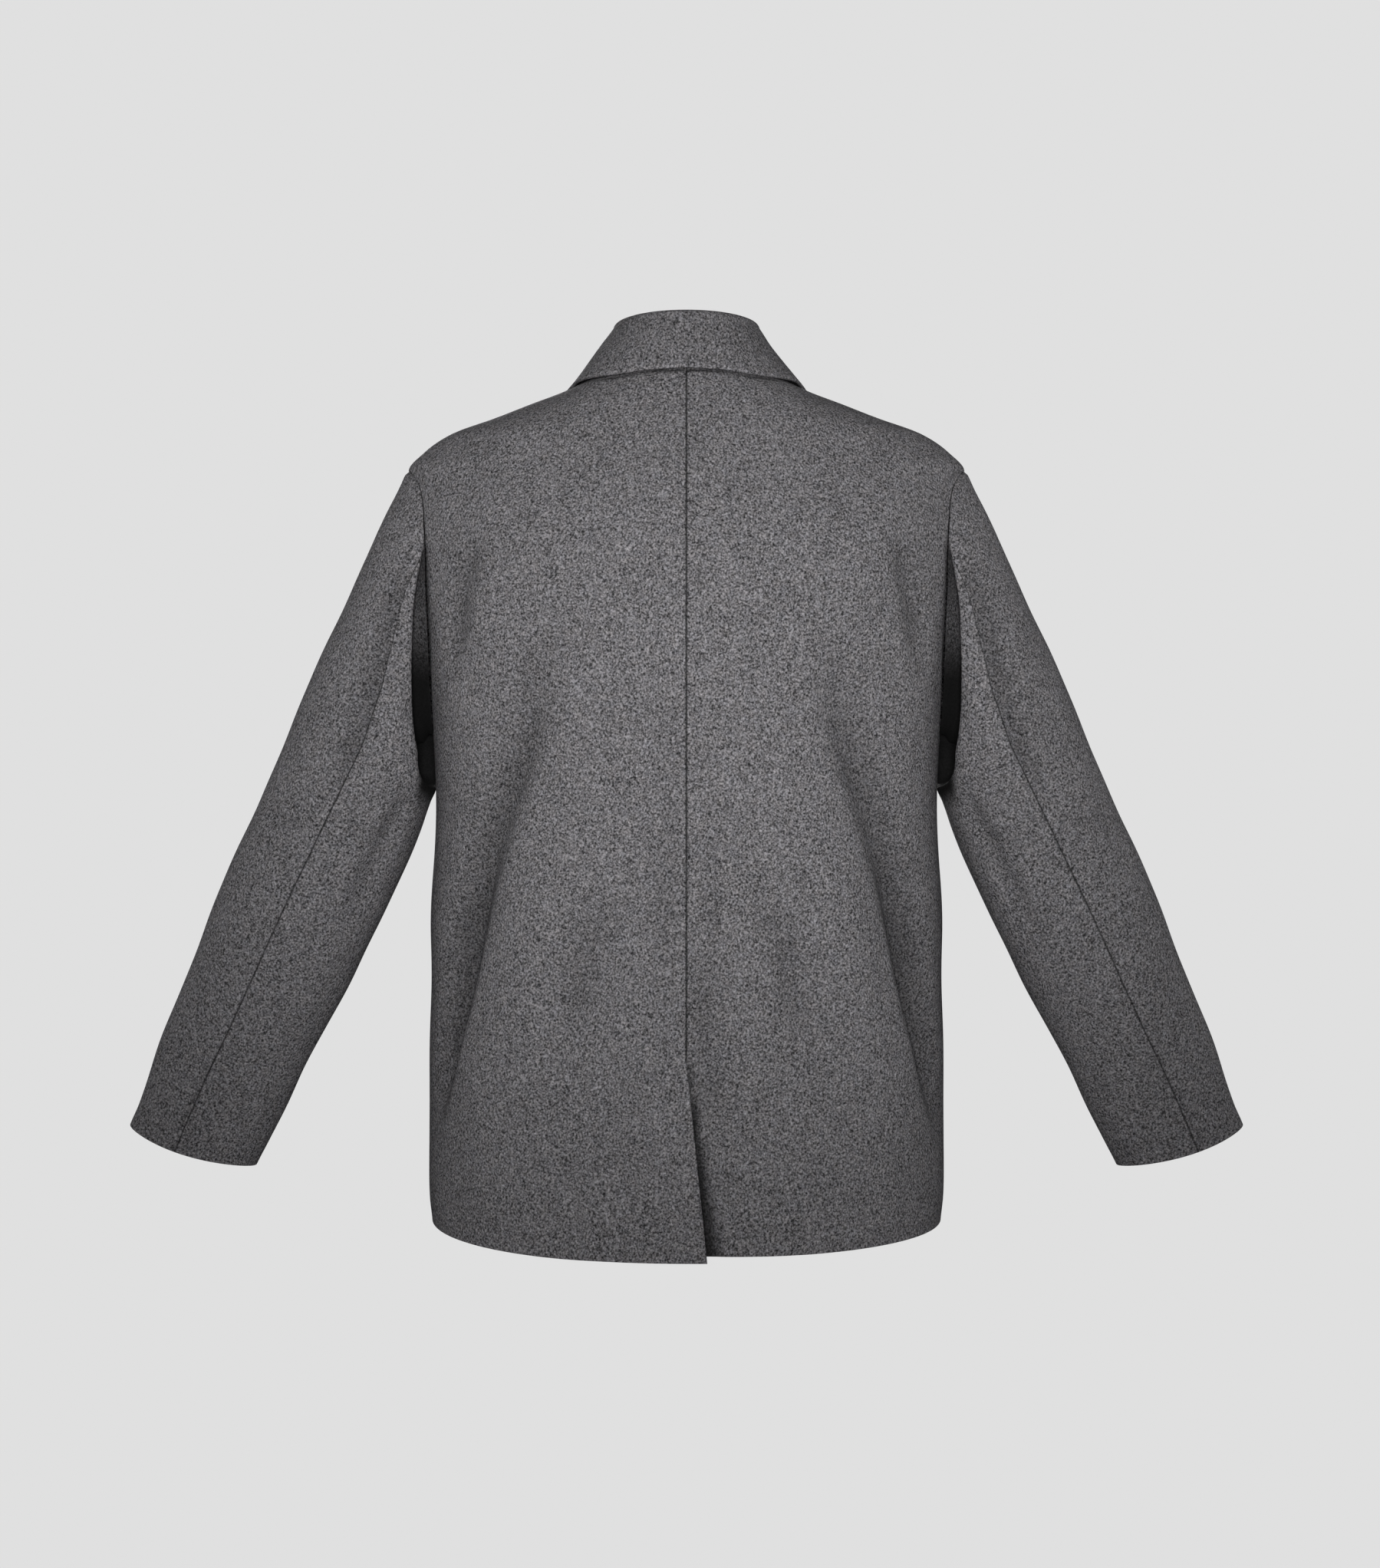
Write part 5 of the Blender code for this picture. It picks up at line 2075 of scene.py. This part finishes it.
@dataclass(frozen=True)
class Studio:
    """The camera behind the garment, the pale floor, and soft lights."""

    camera_place: tuple[float, float, float] = (-0.0028, 2.6, -0.3267)
    lens: float = 73.9
    sensor: float = 36.0
    paper: Colour = (0.745, 0.745, 0.745, 1.0)
    paper_roughness: float = 0.95
    white: Colour = (1.0, 1.0, 1.0, 1.0)
    floor_height: float = -1.40
    floor_radius: float = 1.6
    floor_sides: int = 96
    fill: float = 0.04
    lamps: tuple[Lamp, ...] = (
        Lamp("key_behind", (0.0, 3.0, -0.15), (0.0, 0.1, -0.205), 0.7, 3.75, 29.0),
        Lamp("key_front", (0.3, -3.0, 0.45), (0.0, 0.0, -0.20), 1.2, 12.0, 60.0),
        Lamp("side_left", (2.8, -0.5, 0.5), (0.0, 0.0, -0.3), 1.4, 5.0, 80.0),
        Lamp("side_right", (-2.8, -0.5, 0.5), (0.0, 0.0, -0.3), 1.4, 5.0, 80.0),
    )

    def set_camera(self) -> None:
        """Places the photograph's view: level, straight from behind."""
        data = bpy.data.cameras.new("camera")
        data.sensor_fit = "VERTICAL"
        data.sensor_height = data.sensor_width = self.sensor
        data.lens = self.lens
        camera = add_object("camera", data)
        camera.location = self.camera_place
        camera.rotation_euler = (pi / 2, 0.0, pi)
        bpy.context.scene.camera = camera

    def set_floor(self) -> None:
        """Lays a plain round floor well below the garment."""
        sides = range(self.floor_sides)
        angle = np.linspace(0, 2 * np.pi, self.floor_sides, endpoint=False)
        ring = np.stack([np.cos(angle), np.sin(angle), np.zeros_like(angle)], axis=1)
        points = ring * self.floor_radius + (0, 0, self.floor_height)
        mesh = bpy.data.meshes.new("floor")
        mesh.from_pydata(points.tolist(), [], [list(sides)])
        paint = Painter(bpy.data.materials.new("studio_paper"))
        mesh.materials.append(paint.finish(Base_Color=self.paper, Roughness=self.paper_roughness))
        lit = Value(paint.tree, paint.tree.nodes["Principled BSDF"].outputs[0])
        seen = paint.node("Emission", Color=self.paper)
        self.pale_to_the_eye(paint, lit, seen, "Material Output")
        add_object("floor", mesh)

    def set_world(self) -> None:
        """Makes the background pale to the eye, and a weaker fill to the cloth."""
        world = bpy.data.worlds.new("studio")
        paint = Painter(world)
        backdrop = paint.tree.nodes["Background"]
        backdrop.inputs["Color"].default_value = self.paper
        lit = paint.node("Background", Color=self.white, Strength=self.fill)
        seen = Value(paint.tree, backdrop.outputs[0])
        self.pale_to_the_eye(paint, lit, seen, "World Output")
        bpy.context.scene.world = world

    def pale_to_the_eye(self, paint: Painter, lit: Value, seen: Value, output: str) -> None:
        """Shows one shader to the camera, and gives the garment's light from the other.

        Args:
            paint: The world's or material's nodes.
            lit: What the garment is lit by.
            seen: What the camera sees.
            output: The tree's output node.
        """
        to_camera = paint.node("LightPath", "Is Camera Ray")
        mixed = paint.node("MixShader", numbered={0: to_camera, 1: lit, 2: seen})
        put(paint.tree, paint.tree.nodes[output].inputs[0], mixed)

    def build(self) -> None:
        """Sets the camera, floor, world and lights."""
        bpy.context.scene.view_settings.view_transform = "Standard"
        self.set_camera()
        self.set_floor()
        self.set_world()
        for lamp in self.lamps:
            lamp.build()


# A painted shadow line on the back, just under the collar's edge.
UNDER_COLLAR_SHADOW = Crease(
    (
        (90.0, -0.0016), (67.0, -0.0031), (50.0, -0.0059),
        (30.0, -0.0066), (10.0, -0.0067), (2.0, -0.0071),
    ),
    half_width=0.0016, depth=-0.0002, flank=0.0, fade=0.01, dark=0.90,
)
# The dark of each crease is painted shade down in its fold.
BACK_CREASES = (
    UNDER_COLLAR_SHADOW,
    Crease(((43.5, -0.115), (36.8, -0.181), (27.0, -0.250)), 0.014, -0.0050, 0.3, dark=0.28),
    Crease(((76.5, -0.395), (71.0, -0.460), (66.0, -0.545)), 0.013, -0.0034, 0.3, dark=0.16),
    Crease(((80.5, -0.100), (80.8, -0.290), (81.2, -0.500)), 0.011, 0.0030, 0.1),
    Crease(
        ((68.0, -0.150), (58.0, -0.268), (44.5, -0.361), (37.0, -0.421), (29.5, -0.500)),
        half_width=0.018, depth=-0.0070, flank=0.2, lean=0.2, fade=0.45, dark=0.42,
    ),
    Crease(
        ((44.5, -0.361), (37.0, -0.421), (30.0, -0.500), (22.0, -0.560), (12.0, -0.610)),
        half_width=0.017, depth=-0.0130, flank=0.15, lean=0.3, fade=0.42, dark=0.66,
    ),
    Crease(((87.8, -0.541), (85.2, -0.549), (82.0, -0.556)), 0.003, -0.0007, 0.2, dark=0.12),
)
# Creases by the centre back: their dark is painted shade beside the seam and the vent.
LEFT_BACK_CREASES = BACK_CREASES + (
    Crease(((87.2, -0.220), (86.8, -0.400), (86.0, -0.530)), 0.012, -0.0012, 0.2, dark=0.13),
)
RIGHT_BACK_CREASES = BACK_CREASES + (
    Crease(((86.4, -0.280), (85.8, -0.420), (85.0, -0.540)), 0.008, -0.0014, 0.2, dark=0.08),
    Crease(((88.4, -0.440), (87.4, -0.530), (85.0, -0.620)), 0.010, -0.0010, 0.2, dark=0.22),
)
FRONT_CREASES = (
    Crease(((-42.0, -0.130), (-36.0, -0.200), (-26.0, -0.270)), 0.012, -0.0045, 0.3),
    Crease(((-58.0, -0.220), (-51.0, -0.330), (-41.0, -0.430)), 0.011, -0.0050, 0.3),
    Crease(
        ((-48.0, -0.380), (-37.0, -0.480), (-20.0, -0.590)),
        half_width=0.013, depth=-0.0080, flank=0.2, lean=0.3, fade=0.45,
    ),
    Crease(((-74.0, -0.300), (-71.0, -0.430), (-69.0, -0.580)), 0.012, -0.0030, 0.3),
)
# The dark of each crease is painted shade down in its fold.
TOP_SLEEVE_CREASES = (
    Crease(
        ((60.0, 0.012), (66.0, 0.048), (79.0, 0.095), (85.5, 0.150), (85.5, 0.210), (83.0, 0.280)),
        half_width=0.012, depth=-0.0040, flank=0.3, fade=0.22, dark=0.34,
    ),
    Crease(((30.0, 0.298), (55.0, 0.294), (84.0, 0.283)), 0.007, -0.0024, 0.3, dark=0.12),
    Crease(((20.0, 0.345), (55.0, 0.330), (82.0, 0.322)), 0.009, -0.0016, 0.3),
    Crease(((55.0, 0.340), (60.0, 0.420), (62.0, 0.500)), 0.011, 0.0024, 0.1),
    Crease(((-55.0, 0.100), (-70.0, 0.190), (-78.0, 0.280)), 0.012, -0.0040, 0.3),
    Crease(((-20.0, 0.310), (-60.0, 0.295), (-100.0, 0.290)), 0.009, -0.0030, 0.3),
    # Two thin painted shade lines near the cuff.
    Crease(
        ((85.0, 0.537), (81.0, 0.537), (77.5, 0.537)),
        half_width=0.0012, depth=-0.0003, flank=0.0, fade=0.05, dark=0.65,
    ),
    Crease(
        ((79.3, 0.545), (78.6, 0.560), (77.6, 0.580)),
        half_width=0.0010, depth=-0.0002, flank=0.0, fade=0.05, dark=0.35,
    ),
)
# The dark of each crease is painted shade down in its fold.
UNDER_SLEEVE_CREASES = (
    Crease(((100.0, 0.055), (110.0, 0.130), (112.0, 0.210)), 0.010, 0.0020, 0.1),
    Crease(((140.0, 0.190), (134.0, 0.280), (130.0, 0.380)), 0.012, -0.0038, 0.3, dark=0.12),
    Crease(((172.0, 0.135), (181.0, 0.168), (190.0, 0.200)), 0.012, 0.0024, 0.0, fade=0.4),
    Crease(((88.0, 0.283), (120.0, 0.276), (150.0, 0.264)), 0.008, -0.0022, 0.3, dark=0.10),
    Crease(((215.0, 0.180), (222.0, 0.290), (226.0, 0.400)), 0.012, -0.0035, 0.3),
)

BACK_CUT = Cut(0.27, 0.71, 0.186)
FRONT_CUT = Cut(0.29, 0.70, 0.172)
TOP_SLEEVE_CUT = Cut(0.20, 0.62, 0.104)
UNDER_SLEEVE_CUT = Cut(0.15, 0.50, 0.066)
HEM_BACK_LEFT = -0.6925
HEM_BACK_RIGHT = -0.6885
HEM_FRONT = -0.6870
BODY_PANELS = (
    BodyPanel(
        "back_left", 1, HEM_BACK_LEFT, Middle.VENT_OVER, False, LEFT_BACK_CREASES, BACK_CUT
    ),
    BodyPanel(
        "back_right", 1, HEM_BACK_RIGHT, Middle.VENT_UNDER, True, RIGHT_BACK_CREASES, BACK_CUT
    ),
    BodyPanel("front_left", -1, HEM_FRONT, Middle.LAP_OVER, False, FRONT_CREASES, FRONT_CUT),
    BodyPanel("front_right", -1, HEM_FRONT, Middle.LAP_UNDER, True, FRONT_CREASES, FRONT_CUT),
)
SLEEVE_PANELS = (
    SleevePanel("top_sleeve", "seam_front", "seam_back", TOP_SLEEVE_CREASES, TOP_SLEEVE_CUT),
    SleevePanel("under_sleeve", "seam_back", "seam_front", UNDER_SLEEVE_CREASES, UNDER_SLEEVE_CUT),
)
BUTTON_HEIGHTS = (-0.098, -0.216, -0.334, -0.452, -0.570)


def main() -> None:
    """Builds the studio and every piece of the overshirt in order."""
    logging.basicConfig(level=logging.INFO, format="%(name)s: %(message)s")
    Studio().build()
    wool, horn, thread = Melton().material(), Horn().material(), Thread().material()
    for panel in BODY_PANELS:
        panel.build(wool)
    for sleeve in SLEEVE_PANELS:
        for mirrored in (False, True):
            sleeve.build(mirrored, wool)
    Collar().build(wool)
    for number, height in enumerate(BUTTON_HEIGHTS, start=1):
        Button(number, height).build(horn, thread)


if __name__ == "__main__":
    main()
